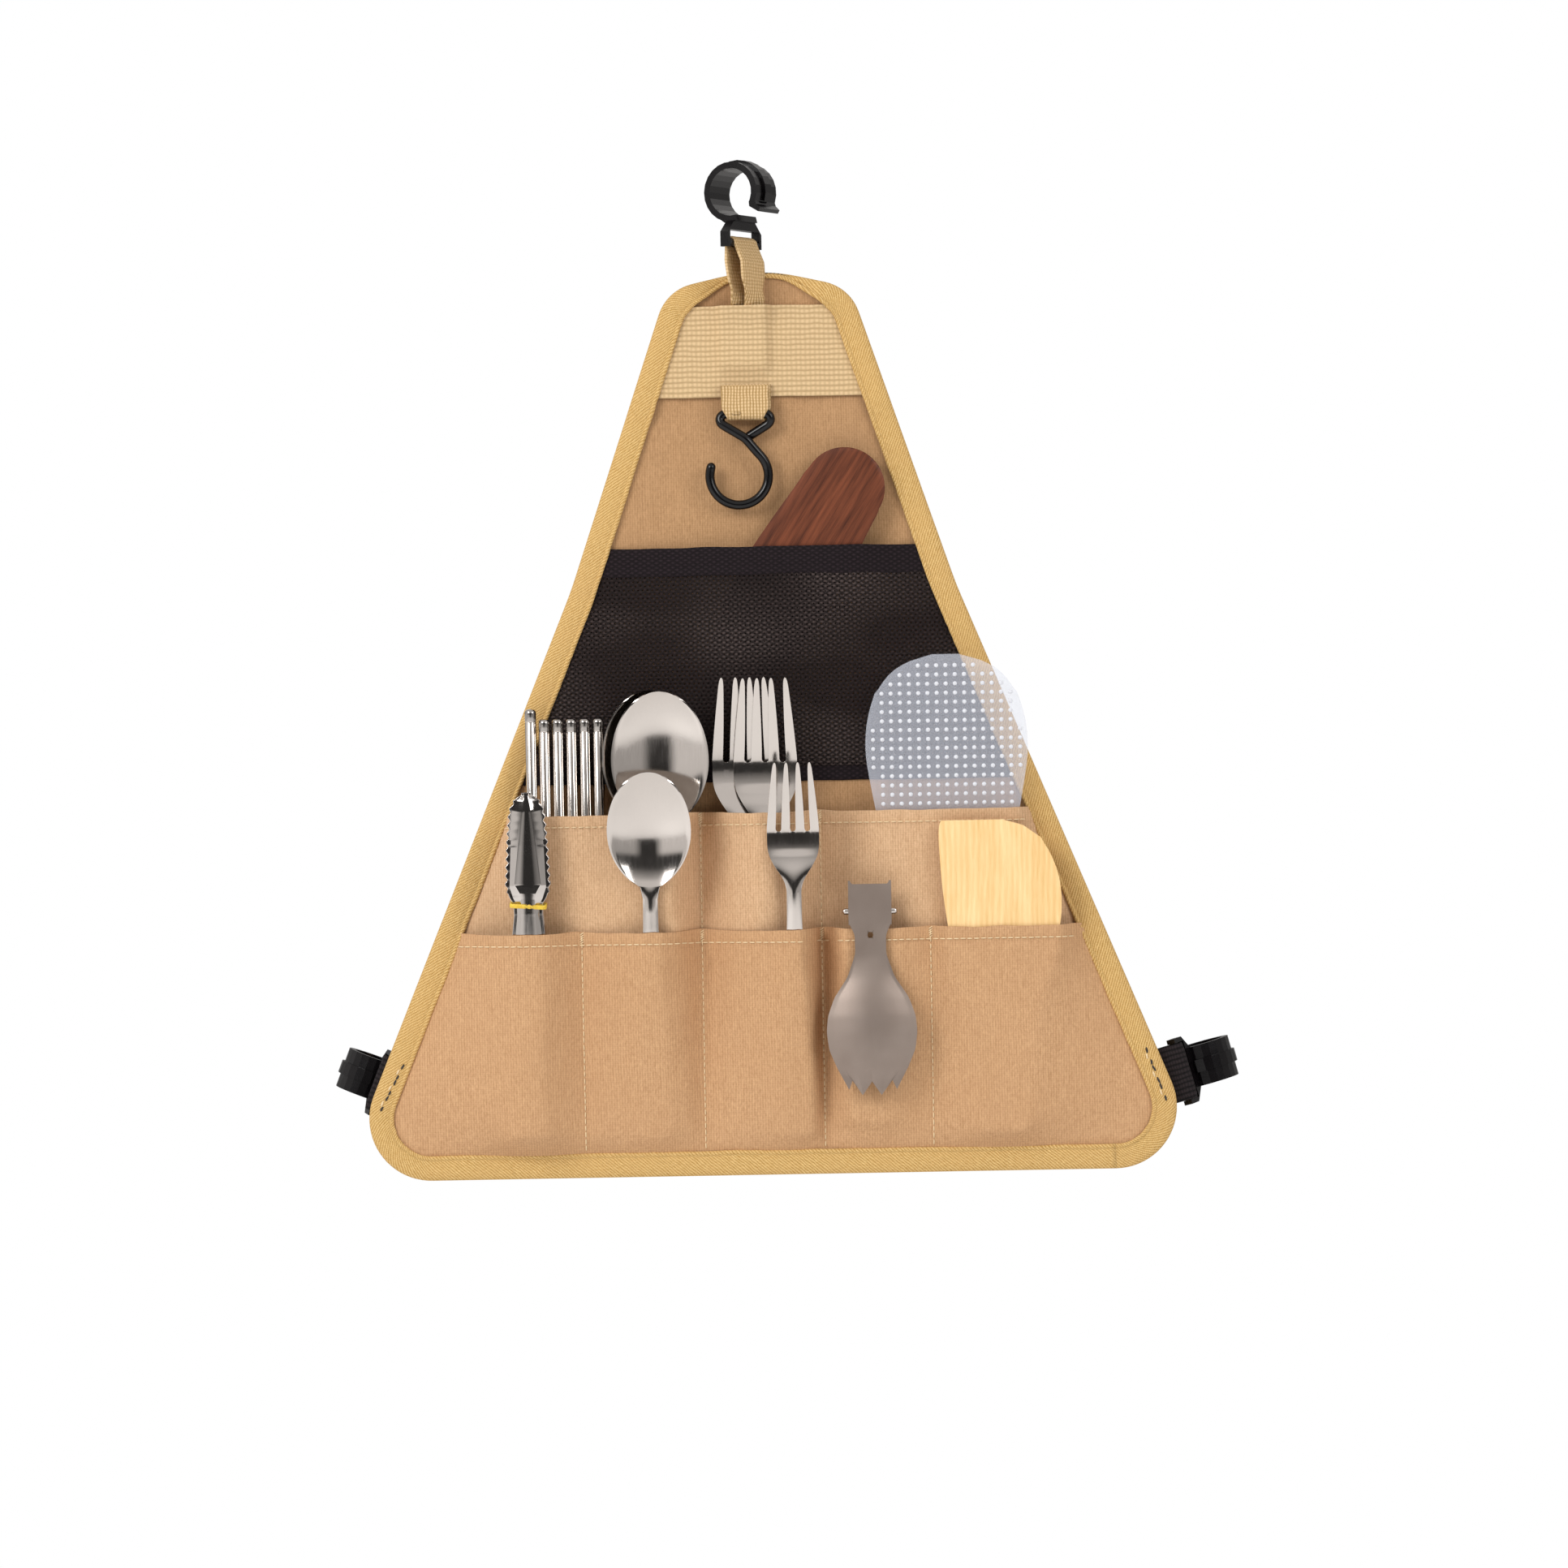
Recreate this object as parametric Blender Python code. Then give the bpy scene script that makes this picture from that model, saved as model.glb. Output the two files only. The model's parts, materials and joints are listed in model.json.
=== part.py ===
"""Camping utensil storage bag.

A tapered canvas panel hangs from a plastic clip and carries cutlery in sewn pockets.
Sizes are in millimetres until a mesh is made. The origin is the hang point, the centre
of the pole in the top clip; X is right, -Y is the front and Z is up. A place on the bag
is (u, v, depth): u right of the centreline, v up from the bottom edge, and depth in
front of the panel's front face.
"""
from math import atan, atan2, ceil, cos, pi, radians, sin, sqrt, tan

import bmesh
import bpy
from mathutils import Matrix, Vector

MM = 0.001
GAP = 0.3

# Corners of the panel's right half, and their fillets
APEX_V = 401.5
APEX_R = 80.0
SHOULDER_HALF = 40.4
SHOULDER_DROP = 9.3
SHOULDER_V = APEX_V - SHOULDER_DROP
SHOULDER_R = 20.0
HIP_HALF = 85.0
HIP_V = 260.0
HIP_R = 150.0
FOOT_HALF = 192.0
FOOT_R = 27.0

# Where the bag hangs from: the pole's centre as a place on the bag
HANG_RISE = 32.9
HANG_U = -7.2
HANG_V = APEX_V + HANG_RISE
PANEL_SETBACK = 8.0

# Cloth
PANEL_T = 2.0
SHEET_T = 0.8
TAPE_W = 10.3
TAPE_T = 0.7
BAND_T = 1.2
BAND_W = 40.4
BAND_DROP = 16.5
BAND_TOP_V = APEX_V - BAND_DROP
BAND_FOOT_V = BAND_TOP_V - BAND_W

# Pockets: mouths, seams, and how steeply the cloth turns in to a seam
UPPER_MOUTH_V = 161.0
LOWER_MOUTH_V = 109.0
SEAM_LEFT_U = -30.0
SEAM_RIGHT_U = 23.0
LOWER_SEAM_LEFT_U = -83.0
LOWER_SEAM_RIGHT_U = 71.0
SEAM_TURN = 4.0
MESH_FOOT_V = 174.0
MESH_FOOT_HEM = 8.0
MESH_BELOW_BAND = 66.6
MESH_MOUTH_V = BAND_FOOT_V - MESH_BELOW_BAND
MESH_MOUTH_HEM = 12.6
POCKET_FLOOR_V = 18.0
SLACK = 0.7

# Hanger strap, hook tab and wire hook
STRAP_U = -7.0
STRAP_W = 20.0
STRAP_T = 1.1
STRAP_HIDDEN = 28.0
STRAP_END_V = BAND_TOP_V - STRAP_HIDDEN
TAB_U = -6.7
TAB_W = 20.5
TAB_T = 0.9
TAB_HIDDEN = 5.4
TAB_TOP_V = BAND_FOOT_V + TAB_HIDDEN
HOOK_WIRE_R = 2.1
HOOK_DROP = 7.6
HOOK_BAR_V = BAND_FOOT_V - HOOK_DROP
HOOK_HALF = 13.8
HOOK_EYE_H = 11.0
HOOK_CROSS_V = HOOK_BAR_V - HOOK_EYE_H
HOOK_LOOP_U = -9.9
HOOK_LOOP_DROP = 27.5
HOOK_LOOP_V = HOOK_BAR_V - HOOK_LOOP_DROP
HOOK_LOOP_R = 13.0
HOOK_CORNER_R = 3.0
TAB_TAPER = 5.6

# C clips
CLIP_BORE_R = 10.5
CLIP_WALL = 2.8
CLIP_W = 18.0
CLIP_RIB_W = 5.6
CLIP_RIB_H = 1.2
CLIP_GAP_FROM = -75.0
CLIP_GAP_TO = -27.0
CLIP_LIP = 5.0
CLIP_FRAME_W = 30.0
CLIP_FRAME_T = 4.0
CLIP_SLOT_W = 26.0
CLIP_BAR_DROP = 22.4
CLIP_BAR_R = 2.0
CLIP_SLOT_ROOM = 3.6
TOP_CLIP_YAW = 29.0

# Side tabs
SIDE_TAB_W = 25.0
SIDE_TAB_T = 1.2
SIDE_TAB_ROOT = 9.0
SIDE_TAB_BELLY = 2.7
LEFT_TAB_V = 43.0
LEFT_TAB_LEAN = 21.0
LEFT_BAR_OUT = -1.0
LEFT_CLIP_TURN = 72.0
RIGHT_TAB_V = 40.0
RIGHT_TAB_LEAN = 15.0
RIGHT_BAR_OUT = 6.5
RIGHT_CLIP_TURN = 58.0

# Utensils: the handle's end stands on the pocket's floor, at U along it
CHOPSTICK_R = 2.5
CHOPSTICK_L = 190.0
CHOPSTICK_FIRST_U = -104.0
CHOPSTICK_PITCH = 5.95
CHOPSTICK_STAGGER = 4.5
SPOON_BOWL_RATIO = 1.42
FORK_TINE_RATIO = 1.35
FORK_ROOT_RATIO = 1.15
FORK_TINE_SHARE = 0.17
TABLE_HANDLE_W = 17.0
TABLE_NECK_W = 7.2
REAR_SPOON_U = -49.9
FRONT_SPOON_U = -47.0
REAR_FORK_U = -10.1
FRONT_FORK_U = -0.6
TABLE_SPOON_L = 197.5
TABLE_SPOON_W = 43.0
TABLE_SPOON_DISH = 6.3
TABLE_FORK_L = 202.5
TABLE_FORK_W = 28.0
TABLE_FORK_DIP = 4.5
DESSERT_HANDLE_W = 14.0
DESSERT_NECK_W = 6.5
DESSERT_SPOON_U = -52.3
DESSERT_FORK_U = 11.0
DESSERT_SPOON_L = 163.0
DESSERT_SPOON_W = 37.0
DESSERT_SPOON_DISH = 5.4
DESSERT_FORK_L = 166.0
DESSERT_FORK_W = 23.0
DESSERT_FORK_DIP = 3.8
STEEL_T = 1.3
PADDLE_U = 79.6
PADDLE_L = 211.0
PADDLE_W = 73.0
PADDLE_T = 3.0
PADDLE_HANDLE_W = 25.0
PADDLE_EDGE = 0.5
SPATULA_L = 155.0
SPATULA_W = 36.0
SPATULA_T = 4.0
SPATULA_HANDLE_W = 15.0
SPATULA_EDGE = 0.8
SPATULA_TILT = 32.0
SPATULA_HEAD_U = 36.5
SPATULA_HEAD_V = 303.3
TURNER_U = 101.5
TURNER_L = 137.5
TURNER_W = 54.0
TURNER_T = 5.0
TONGS_U = -106.0
TONGS_L = 153.0
TONGS_W = 14.4
TONGS_HEAD_W = 20.9
TONGS_DEPTH = 12.5
TONGS_T = 1.2
TONGS_CROWN = 1.6
TONGS_BEND_R = 3.4
TONGS_SCALLOP = 0.9
TONGS_SCALLOP_PITCH = 5.2
TONGS_BAND_W = 3.7
TONGS_BAND_T = 1.5
TONGS_BAND_ABOVE_MOUTH = 13.0
TONGS_BAND_AT = LOWER_MOUTH_V - POCKET_FLOOR_V + TONGS_BAND_ABOVE_MOUTH
TONGS_HEAD_ABOVE_BAND = 3.0
TONGS_HEAD_L = TONGS_L - TONGS_BAND_AT - TONGS_HEAD_ABOVE_BAND
SPORK_U = 44.3
SPORK_L = 81.0
SPORK_W = 40.0
SPORK_NECK_W = 13.7
SPORK_EAR_W = 19.0
SPORK_T = 1.0
SPORK_EAR_BACK = 2.8
SPORK_DISH = 5.2
SPORK_TOP = 12.0
SPORK_HOLE_R = 1.3
SPORK_HOLE_DROP = 10.5
SPORK_PIN_V = 116.0
SPORK_PIN_L = 2.2
SPORK_WIRE_R = 1.4
SPORK_WIRE_L = 92.0


# Materials
def material(name, colour, roughness, metallic=0.0):
    found = bpy.data.materials.get(name)
    if found:
        return found
    made = bpy.data.materials.new(name)
    made.use_nodes = True
    shader = made.node_tree.nodes["Principled BSDF"]
    shader.inputs["Base Color"].default_value = (*colour, 1.0)
    shader.inputs["Roughness"].default_value = roughness
    shader.inputs["Metallic"].default_value = metallic
    made.diffuse_color = (*colour, 1.0)
    return made


CANVAS = ("canvas", (0.58, 0.38, 0.21), 0.9)
BINDING = ("binding_tape", (0.72, 0.45, 0.15), 0.85)
WEBBING = ("beige_webbing", (0.66, 0.51, 0.31), 0.9)
BLACK_WEBBING = ("black_webbing", (0.012, 0.010, 0.010), 0.85)
NET = ("black_mesh", (0.020, 0.014, 0.011), 0.85)
BLACK_PLASTIC = ("black_plastic", (0.012, 0.012, 0.014), 0.4)
COATED_WIRE = ("coated_wire", (0.008, 0.008, 0.010), 0.25)
STEEL = ("polished_steel", (0.62, 0.62, 0.61), 0.18, 1.0)
TITANIUM = ("titanium", (0.33, 0.31, 0.28), 0.45, 1.0)
FROSTED = ("frosted_plastic", (0.72, 0.74, 0.74), 0.4)
BAMBOO = ("bamboo", (0.62, 0.38, 0.17), 0.5)
WALNUT = ("walnut", (0.16, 0.055, 0.03), 0.45)
YELLOW_RUBBER = ("yellow_rubber", (0.80, 0.55, 0.08), 0.5)


# Placing
def place(u, v, depth=0.0):
    """World millimetres of a place on the bag."""
    return Vector((u - HANG_U, PANEL_SETBACK - depth, v - HANG_V))


def joint_frame(name, at, turn=None):
    """Empty on a joint's axis that a moving body hangs under."""
    frame = bpy.data.objects.new(name, None)
    bpy.context.collection.objects.link(frame)
    frame.matrix_world = Matrix.Translation(at * MM) @ (turn or Matrix()).to_4x4()
    return frame


def smooth(t):
    t = min(1.0, max(0.0, t))
    return t * t * (3 - 2 * t)


def along(stops, x):
    """Straight-line interpolation through (x, value) stops."""
    if x <= stops[0][0]:
        return stops[0][1]
    for (x0, y0), (x1, y1) in zip(stops, stops[1:]):
        if x <= x1:
            return y0 + (y1 - y0) * (x - x0) / (x1 - x0)
    return stops[-1][1]


# Meshes
def add_mesh(name, verts, faces, finish, parent=None, sharp=35.0):
    mesh = bpy.data.meshes.new(name)
    mesh.from_pydata([Vector(v) * MM for v in verts], [], faces)
    shape = bmesh.new()
    shape.from_mesh(mesh)
    bmesh.ops.recalc_face_normals(shape, faces=shape.faces)
    shape.to_mesh(mesh)
    shape.free()
    return add_object(name, mesh, finish, parent, sharp)


def add_object(name, mesh, finish, parent=None, sharp=35.0):
    mesh.shade_smooth()
    mesh.set_sharp_from_angle(angle=radians(sharp))
    mesh.materials.clear()
    mesh.materials.append(material(*finish))
    made = bpy.data.objects.new(name, mesh)
    bpy.context.collection.objects.link(made)
    made.parent = parent
    return made


def loft(name, rings, finish, parent=None, closed=False, sharp=35.0):
    """Skin equal rings of points; the ends are capped unless the rings close in a circle."""
    count = len(rings[0])
    verts = [point for ring in rings for point in ring]
    faces = []
    for i in range(len(rings) if closed else len(rings) - 1):
        low = i * count
        high = (i + 1) % len(rings) * count
        for k in range(count):
            n = (k + 1) % count
            faces.append((low + k, low + n, high + n, high + k))
    if not closed:
        faces.append(tuple(range(count)))
        faces.append(tuple(range(len(verts) - count, len(verts))))
    return add_mesh(name, verts, faces, finish, parent, sharp)


def grid_solid(name, front, back, finish, parent=None, keep=None, sharp=35.0, split=False):
    """Closed solid between two equal grids of points; keep(i, j) says which cells are there.

    split cuts each cell along the same diagonal, so that sheets on one grid can't cross.
    """
    rows, cols = len(front) - 1, len(front[0]) - 1
    cells = {(i, j) for i in range(rows) for j in range(cols) if keep is None or keep(i, j)}
    used = sorted({(i + di, j + dj) for i, j in cells for di in (0, 1) for dj in (0, 1)})
    number = {spot: k for k, spot in enumerate(used)}
    shift = len(used)
    verts = [front[i][j] for i, j in used] + [back[i][j] for i, j in used]
    faces = []
    for i, j in cells:
        ring = [number[spot] for spot in ((i, j), (i, j + 1), (i + 1, j + 1), (i + 1, j))]
        a, b, c, d = ring
        for face in ((a, b, c), (a, c, d)) if split else (ring,):
            faces.append(tuple(face))
            faces.append(tuple(k + shift for k in reversed(face)))
        neighbours = ((i - 1, j), (i, j + 1), (i + 1, j), (i, j - 1))
        for side, beside in enumerate(neighbours):
            if beside not in cells:
                a, b = ring[side], ring[(side + 1) % 4]
                faces.append((b, a, a + shift, b + shift))
    return add_mesh(name, verts, faces, finish, parent, sharp)


def prism(name, outline, start, end, finish, parent=None, sharp=35.0):
    """Extrude an outline of 3-D points from start to end, both offset vectors."""
    rings = [[point + offset for point in outline] for offset in (start, end)]
    return loft(name, rings, finish, parent, sharp=sharp)


def ribbon(name, path, finish, parent=None):
    """Strap through (centre, half width vector, half thickness vector) stations."""
    rings = [[c - w - t, c + w - t, c + w + t, c - w + t] for c, w, t in path]
    return loft(name, rings, finish, parent)


def wire(name, points, radius, finish, parent=None, resolution=3):
    curve = bpy.data.curves.new(name, "CURVE")
    curve.dimensions = "3D"
    curve.bevel_depth = radius * MM
    curve.bevel_resolution = resolution
    curve.use_fill_caps = True
    spline = curve.splines.new("POLY")
    spline.points.add(len(points) - 1)
    for spot, point in zip(spline.points, points):
        spot.co = (*(point * MM), 1.0)
    curve.materials.append(material(*finish))
    made = bpy.data.objects.new(name, curve)
    bpy.context.collection.objects.link(made)
    made.parent = parent
    return made


# Outlines
def fillet(corners, closed=True, step=15.0):
    """Points of a polygon or path whose (x, y, radius) corners are rounded."""
    points = []
    for i, (x, y, radius) in enumerate(corners):
        here = Vector((x, y))
        if not closed and i in (0, len(corners) - 1):
            points.append(here)
            continue
        before = (Vector(corners[i - 1][:2]) - here).normalized()
        after = (Vector(corners[(i + 1) % len(corners)][:2]) - here).normalized()
        half = before.angle(after) / 2
        reach = radius / tan(half)
        centre = here + (before + after).normalized() * radius / sin(half)
        start = here + before * reach - centre
        end = here + after * reach - centre
        first = atan2(start.y, start.x)
        sweep = (atan2(end.y, end.x) - first + pi) % (2 * pi) - pi
        steps = max(2, ceil(abs(sweep) / radians(step)))
        for k in range(steps + 1):
            angle = first + sweep * k / steps
            points.append(centre + Vector((cos(angle), sin(angle))) * radius)
    return points


def cut_at_levels(points, levels):
    """The closed outline with a point added wherever it crosses one of the levels."""
    cut = []
    for i, here in enumerate(points):
        following = points[(i + 1) % len(points)]
        cut.append(here)
        rise = following.y - here.y
        shares = [(level - here.y) / rise for level in levels if abs(rise) > 1e-9]
        for share in sorted(s for s in shares if 0.02 < s < 0.98):
            cut.append(here.lerp(following, share))
    return cut


def inset(points, distance):
    """Move a counter-clockwise closed outline inwards."""
    moved = []
    for i, here in enumerate(points):
        a = (here - points[i - 1]).normalized()
        b = (points[(i + 1) % len(points)] - here).normalized()
        inward = Vector((-(a.y + b.y), a.x + b.x)).normalized()
        moved.append(here + inward * distance / inward.dot(Vector((-a.y, a.x))))
    return moved


def panel_corners():
    right = [(FOOT_HALF, 0.0, FOOT_R), (HIP_HALF, HIP_V, HIP_R),
             (SHOULDER_HALF, SHOULDER_V, SHOULDER_R)]
    left = [(-u, v, radius) for u, v, radius in reversed(right)]
    return right + [(0.0, APEX_V, APEX_R)] + left


# How far the tape stands off the panel at each height, over the layers sewn under it
ONE_SHEET = GAP + SHEET_T + GAP
TWO_SHEETS = ONE_SHEET + SHEET_T + GAP
UNDER_BAND = GAP + BAND_T + GAP
STACK = [(0.0, TWO_SHEETS), (LOWER_MOUTH_V + 2, TWO_SHEETS), (LOWER_MOUTH_V + 10, ONE_SHEET),
         (MESH_MOUTH_V + 2, ONE_SHEET), (MESH_MOUTH_V + 12, GAP), (BAND_FOOT_V - 10, GAP),
         (BAND_FOOT_V - 2, UNDER_BAND), (BAND_TOP_V + 9.5, UNDER_BAND), (BAND_TOP_V + 12, GAP)]
OUTLINE = cut_at_levels(fillet(panel_corners()), [level for level, _ in STACK[1:]])


def half_width(v, distance=0.0):
    """Half the panel's width at a height, less a margin all round."""
    best = 0.0
    v = max(v, distance + 0.05)
    ring = inset(OUTLINE, distance)
    for i, here in enumerate(ring):
        following = ring[(i + 1) % len(ring)]
        if min(here.y, following.y) <= v <= max(here.y, following.y) and here.y != following.y:
            share = (v - here.y) / (following.y - here.y)
            best = max(best, here.lerp(following, share).x)
    return best


# Panel and binding
def build_panel():
    rim = inset(OUTLINE, TAPE_T + GAP)
    outline = [place(p.x, p.y) for p in rim]
    prism("back_panel", outline, Vector((0, 0, 0)), Vector((0, PANEL_T, 0)), CANVAS)


def build_binding():
    back = -(PANEL_T + GAP)
    turn = TAPE_T
    lines = {d: inset(OUTLINE, d) for d in (0.0, turn, TAPE_W)}
    rings = []
    for i, spot in enumerate(OUTLINE):
        over = along(STACK, spot.y)
        section = [(TAPE_W, over), (turn, over), (turn, back), (TAPE_W, back),
                   (TAPE_W, back - TAPE_T), (turn, back - TAPE_T), (0.0, back),
                   (0.0, over), (turn, over + TAPE_T), (TAPE_W, over + TAPE_T)]
        rings.append([place(lines[d][i].x, lines[d][i].y, depth) for d, depth in section])
    loft("edge_binding", rings, BINDING, closed=True, sharp=50)


# Sewn sheets
def sheet(name, levels, columns, depth, thickness, finish):
    """Cloth over a grid of places: columns(v) gives u values and depth(u, v) its inner face."""
    inner = [[place(u, v, depth(u, v)) for u in columns(v)] for v in levels]
    outer = [[place(u, v, depth(u, v) + thickness) for u in columns(v)] for v in levels]
    grid_solid(name, outer, inner, finish, sharp=60, split=True)


def spaced(start, end, shares):
    return [start + (end - start) * share for share in shares]


POCKET_SHARES = (0.0, 0.03, 0.08, 0.35, 0.65, 0.92, 0.97)
MARGIN = TAPE_T + GAP + 1.0


def pocket_columns(v):
    """Columns shared by both canvas pockets, so that one lies on the other without touching."""
    side, edge = half_width(v, TAPE_W), half_width(v, MARGIN)
    bounds = [-side, LOWER_SEAM_LEFT_U, SEAM_LEFT_U, SEAM_RIGHT_U, LOWER_SEAM_RIGHT_U, side]
    columns = [-edge]
    for start, end in zip(bounds, bounds[1:]):
        columns += spaced(start, end, POCKET_SHARES)
    return columns + [side, edge]


def turn_in(distance):
    """How much of its full depth a pocket has near a seam."""
    share = min(1.0, max(0.0, distance / SEAM_TURN))
    return sqrt(1 - (1 - share) ** 2)


def pocket_depth(u, v, mouth, seams, stops):
    """Depth of a pocket at a place, from (u, (depth at the floor, depth at the mouth)) stops."""
    side = half_width(v, TAPE_W)
    bounds = [-side] + seams + [side]
    near = min(abs(u - bound) for bound in bounds) if abs(u) < side else 0.0
    floor, top = along(stops, u)
    rise = max(0.0, (v - POCKET_FLOOR_V) / (mouth - POCKET_FLOOR_V))
    filled = turn_in(SEAM_TURN * (v - TAPE_W) / (POCKET_FLOOR_V - TAPE_W))
    return (floor + (top - floor) * rise) * filled * turn_in(near)


def upper_inner(u, v):
    return GAP + pocket_depth(u, v, UPPER_MOUTH_V, [SEAM_LEFT_U, SEAM_RIGHT_U], UPPER_ROOM)


def lower_inner(u, v):
    seams = [LOWER_SEAM_LEFT_U, SEAM_LEFT_U, SEAM_RIGHT_U, LOWER_SEAM_RIGHT_U]
    room = pocket_depth(u, v, LOWER_MOUTH_V, seams, LOWER_ROOM)
    return max(upper_inner(u, v) + SHEET_T + GAP, GAP + room)


def build_pockets():
    foot = [MARGIN + 1.0, 6.0, TAPE_W] + spaced(TAPE_W, POCKET_FLOOR_V, (0.15, 0.5, 1.0))
    lower = foot + spaced(POCKET_FLOOR_V, LOWER_MOUTH_V, (0.12, 0.3, 0.55, 0.8, 1.0))
    upper = lower + spaced(LOWER_MOUTH_V, UPPER_MOUTH_V, (0.35, 0.7, 1.0))
    sheet("upper_pocket", upper, pocket_columns, upper_inner, SHEET_T, CANVAS)
    sheet("lower_pocket", lower, pocket_columns, lower_inner, SHEET_T, CANVAS)


def net_columns(v):
    side, edge = half_width(v, TAPE_W), half_width(v, MARGIN)
    shares = (-1.0, -0.72, -0.45, -0.15, 0.15, 0.45, 0.72, 1.0)
    inside = [spatula_u(v) + share * NET_BULGE for share in shares]
    return [-edge, -side, *inside, side, edge]


def net_inner(u, v):
    """The net lies on the spatula, which leans to the right, and falls away on both sides."""
    up = (v - MESH_FOOT_V) / (MESH_MOUTH_V - MESH_FOOT_V)
    room = SPATULA_FLOOR + SPATULA_LEAN * max(0.0, spatula_reach(v)) + SLACK
    aside = abs(u - spatula_u(v)) / NET_BULGE
    foot = turn_in(SEAM_TURN * (v - MESH_FOOT_V) / (MESH_FOOT_HEM + 1.0))
    bulge = smooth((1.0 - aside) / 0.55) * foot
    inside = min(1.0, max(0.0, (half_width(v, TAPE_W) - abs(u)) / 6.0))
    return GAP + inside * max(NET_SAG * smooth(up), room * bulge)


def build_net():
    hem_foot = MESH_MOUTH_V - MESH_MOUTH_HEM
    foot_top = MESH_FOOT_V + MESH_FOOT_HEM
    sheet("mesh_bottom_hem", [MESH_FOOT_V, foot_top], net_columns, net_inner, SHEET_T, NET)
    body = spaced(foot_top + GAP, hem_foot - GAP, (0.0, 0.2, 0.4, 0.6, 0.8, 1.0))
    sheet("mesh_pocket", body, net_columns, net_inner, SHEET_T, NET)
    sheet("mesh_hem", [hem_foot, MESH_MOUTH_V], net_columns, net_inner, SHEET_T, NET)


# Band, hanger strap and hook tab
STRAP_PLY = STRAP_T / 2 + GAP / 2
STRAP_DEPTH = GAP + TAPE_T + GAP + STRAP_T + GAP / 2
BAND_BUMP = STRAP_DEPTH + STRAP_PLY + STRAP_T / 2 + GAP


def band_columns(v):
    edge = half_width(v, MARGIN)
    reach = STRAP_W / 2
    bump = [STRAP_U + k for k in (-reach - 4, -reach - 0.5, 0, reach + 0.5, reach + 4)]
    return [-edge, *bump, edge]


def band_inner(u, v):
    across = 1 - smooth((abs(u - STRAP_U) - STRAP_W / 2 - 0.5) / 3.5)
    up = smooth((v - TAB_TOP_V - 1) / (STRAP_END_V - TAB_TOP_V - 2))
    return GAP + (BAND_BUMP - GAP) * across * up


def build_band():
    levels = [BAND_FOOT_V, TAB_TOP_V + 1, STRAP_END_V - 1, BAND_TOP_V]
    sheet("top_band", levels, band_columns, band_inner, BAND_T, WEBBING)


def build_strap():
    """Up one ply, round the clip's bar and down the other, turning to the bar on the way."""
    bar = Vector((0, 0, -CLIP_BAR_DROP))
    loop_r = CLIP_BAR_R + GAP + STRAP_T / 2
    foot = place(STRAP_U, STRAP_END_V, STRAP_DEPTH)
    rise = bar.z - foot.z
    free = BAND_TOP_V - STRAP_END_V
    turning = APEX_V - STRAP_END_V - 4.0
    side_on = radians(90 - TOP_CLIP_YAW)

    def station(height, side):
        lift = smooth((height - free) / (rise - free))
        late = smooth((height - turning) / (rise - turning))
        angle = side_on * late
        across = Vector((cos(angle), sin(angle), 0))
        through = Vector((-sin(angle), cos(angle), 0)) * side
        centre = foot.lerp(Vector((bar.x, bar.y, foot.z)), lift) + Vector((0, 0, height))
        gap = STRAP_PLY + (loop_r - STRAP_PLY) * late
        return centre + through * gap, across * STRAP_W / 2, through * STRAP_T / 2

    heights = spaced(0, free, (0.0, 0.5, 1.0)) + spaced(free, turning, (0.5, 1.0))
    heights += spaced(turning, rise, [k / 7 for k in range(1, 8)])
    path = [station(h, -1) for h in heights]
    across = Vector((cos(side_on), sin(side_on), 0))
    out = Vector((-sin(side_on), cos(side_on), 0))
    for k in range(1, 6):
        angle = pi * k / 6
        radial = -out * cos(angle) + Vector((0, 0, sin(angle)))
        path.append((bar + radial * loop_r, across * STRAP_W / 2, radial * STRAP_T / 2))
    path += [station(h, 1) for h in reversed(heights)]
    ribbon("hanger_strap", path, WEBBING)


def tab_wire_depth():
    """Depth of the wire that the hook tab folds round."""
    return GAP + BAND_T + GAP + TAB_T + GAP + HOOK_WIRE_R


def build_hook_tab():
    depth = tab_wire_depth()
    loop_r = HOOK_WIRE_R + GAP + TAB_T / 2
    top_back = GAP + BAND_T + GAP + TAB_T / 2
    top_front = top_back + TAB_T + GAP
    back = [(TAB_TOP_V, top_back), (TAB_TOP_V - 6, top_back), (HOOK_BAR_V, depth - loop_r)]
    front = [(HOOK_BAR_V, depth + loop_r), (TAB_TOP_V - 6, (top_front + depth + loop_r) / 2 - 1),
             (TAB_TOP_V, top_front)]
    fold = [(HOOK_BAR_V - loop_r * sin(a), depth - loop_r * cos(a))
            for a in (pi * k / 6 for k in range(1, 6))]
    spots = [place(TAB_U, v, d) for v, d in back + fold + front]
    path = []
    for i, spot in enumerate(spots):
        ahead = spots[min(i + 1, len(spots) - 1)] - spots[max(i - 1, 0)]
        through = ahead.cross(Vector((1, 0, 0))).normalized() * TAB_T / 2
        drop = TAB_TOP_V - HANG_V - spot.z
        half = TAB_W / 2 - TAB_TAPER * smooth((drop - 8) / 8)
        path.append((spot, Vector((half, 0, 0)), through))
    ribbon("hook_tab", path, WEBBING)


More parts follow.
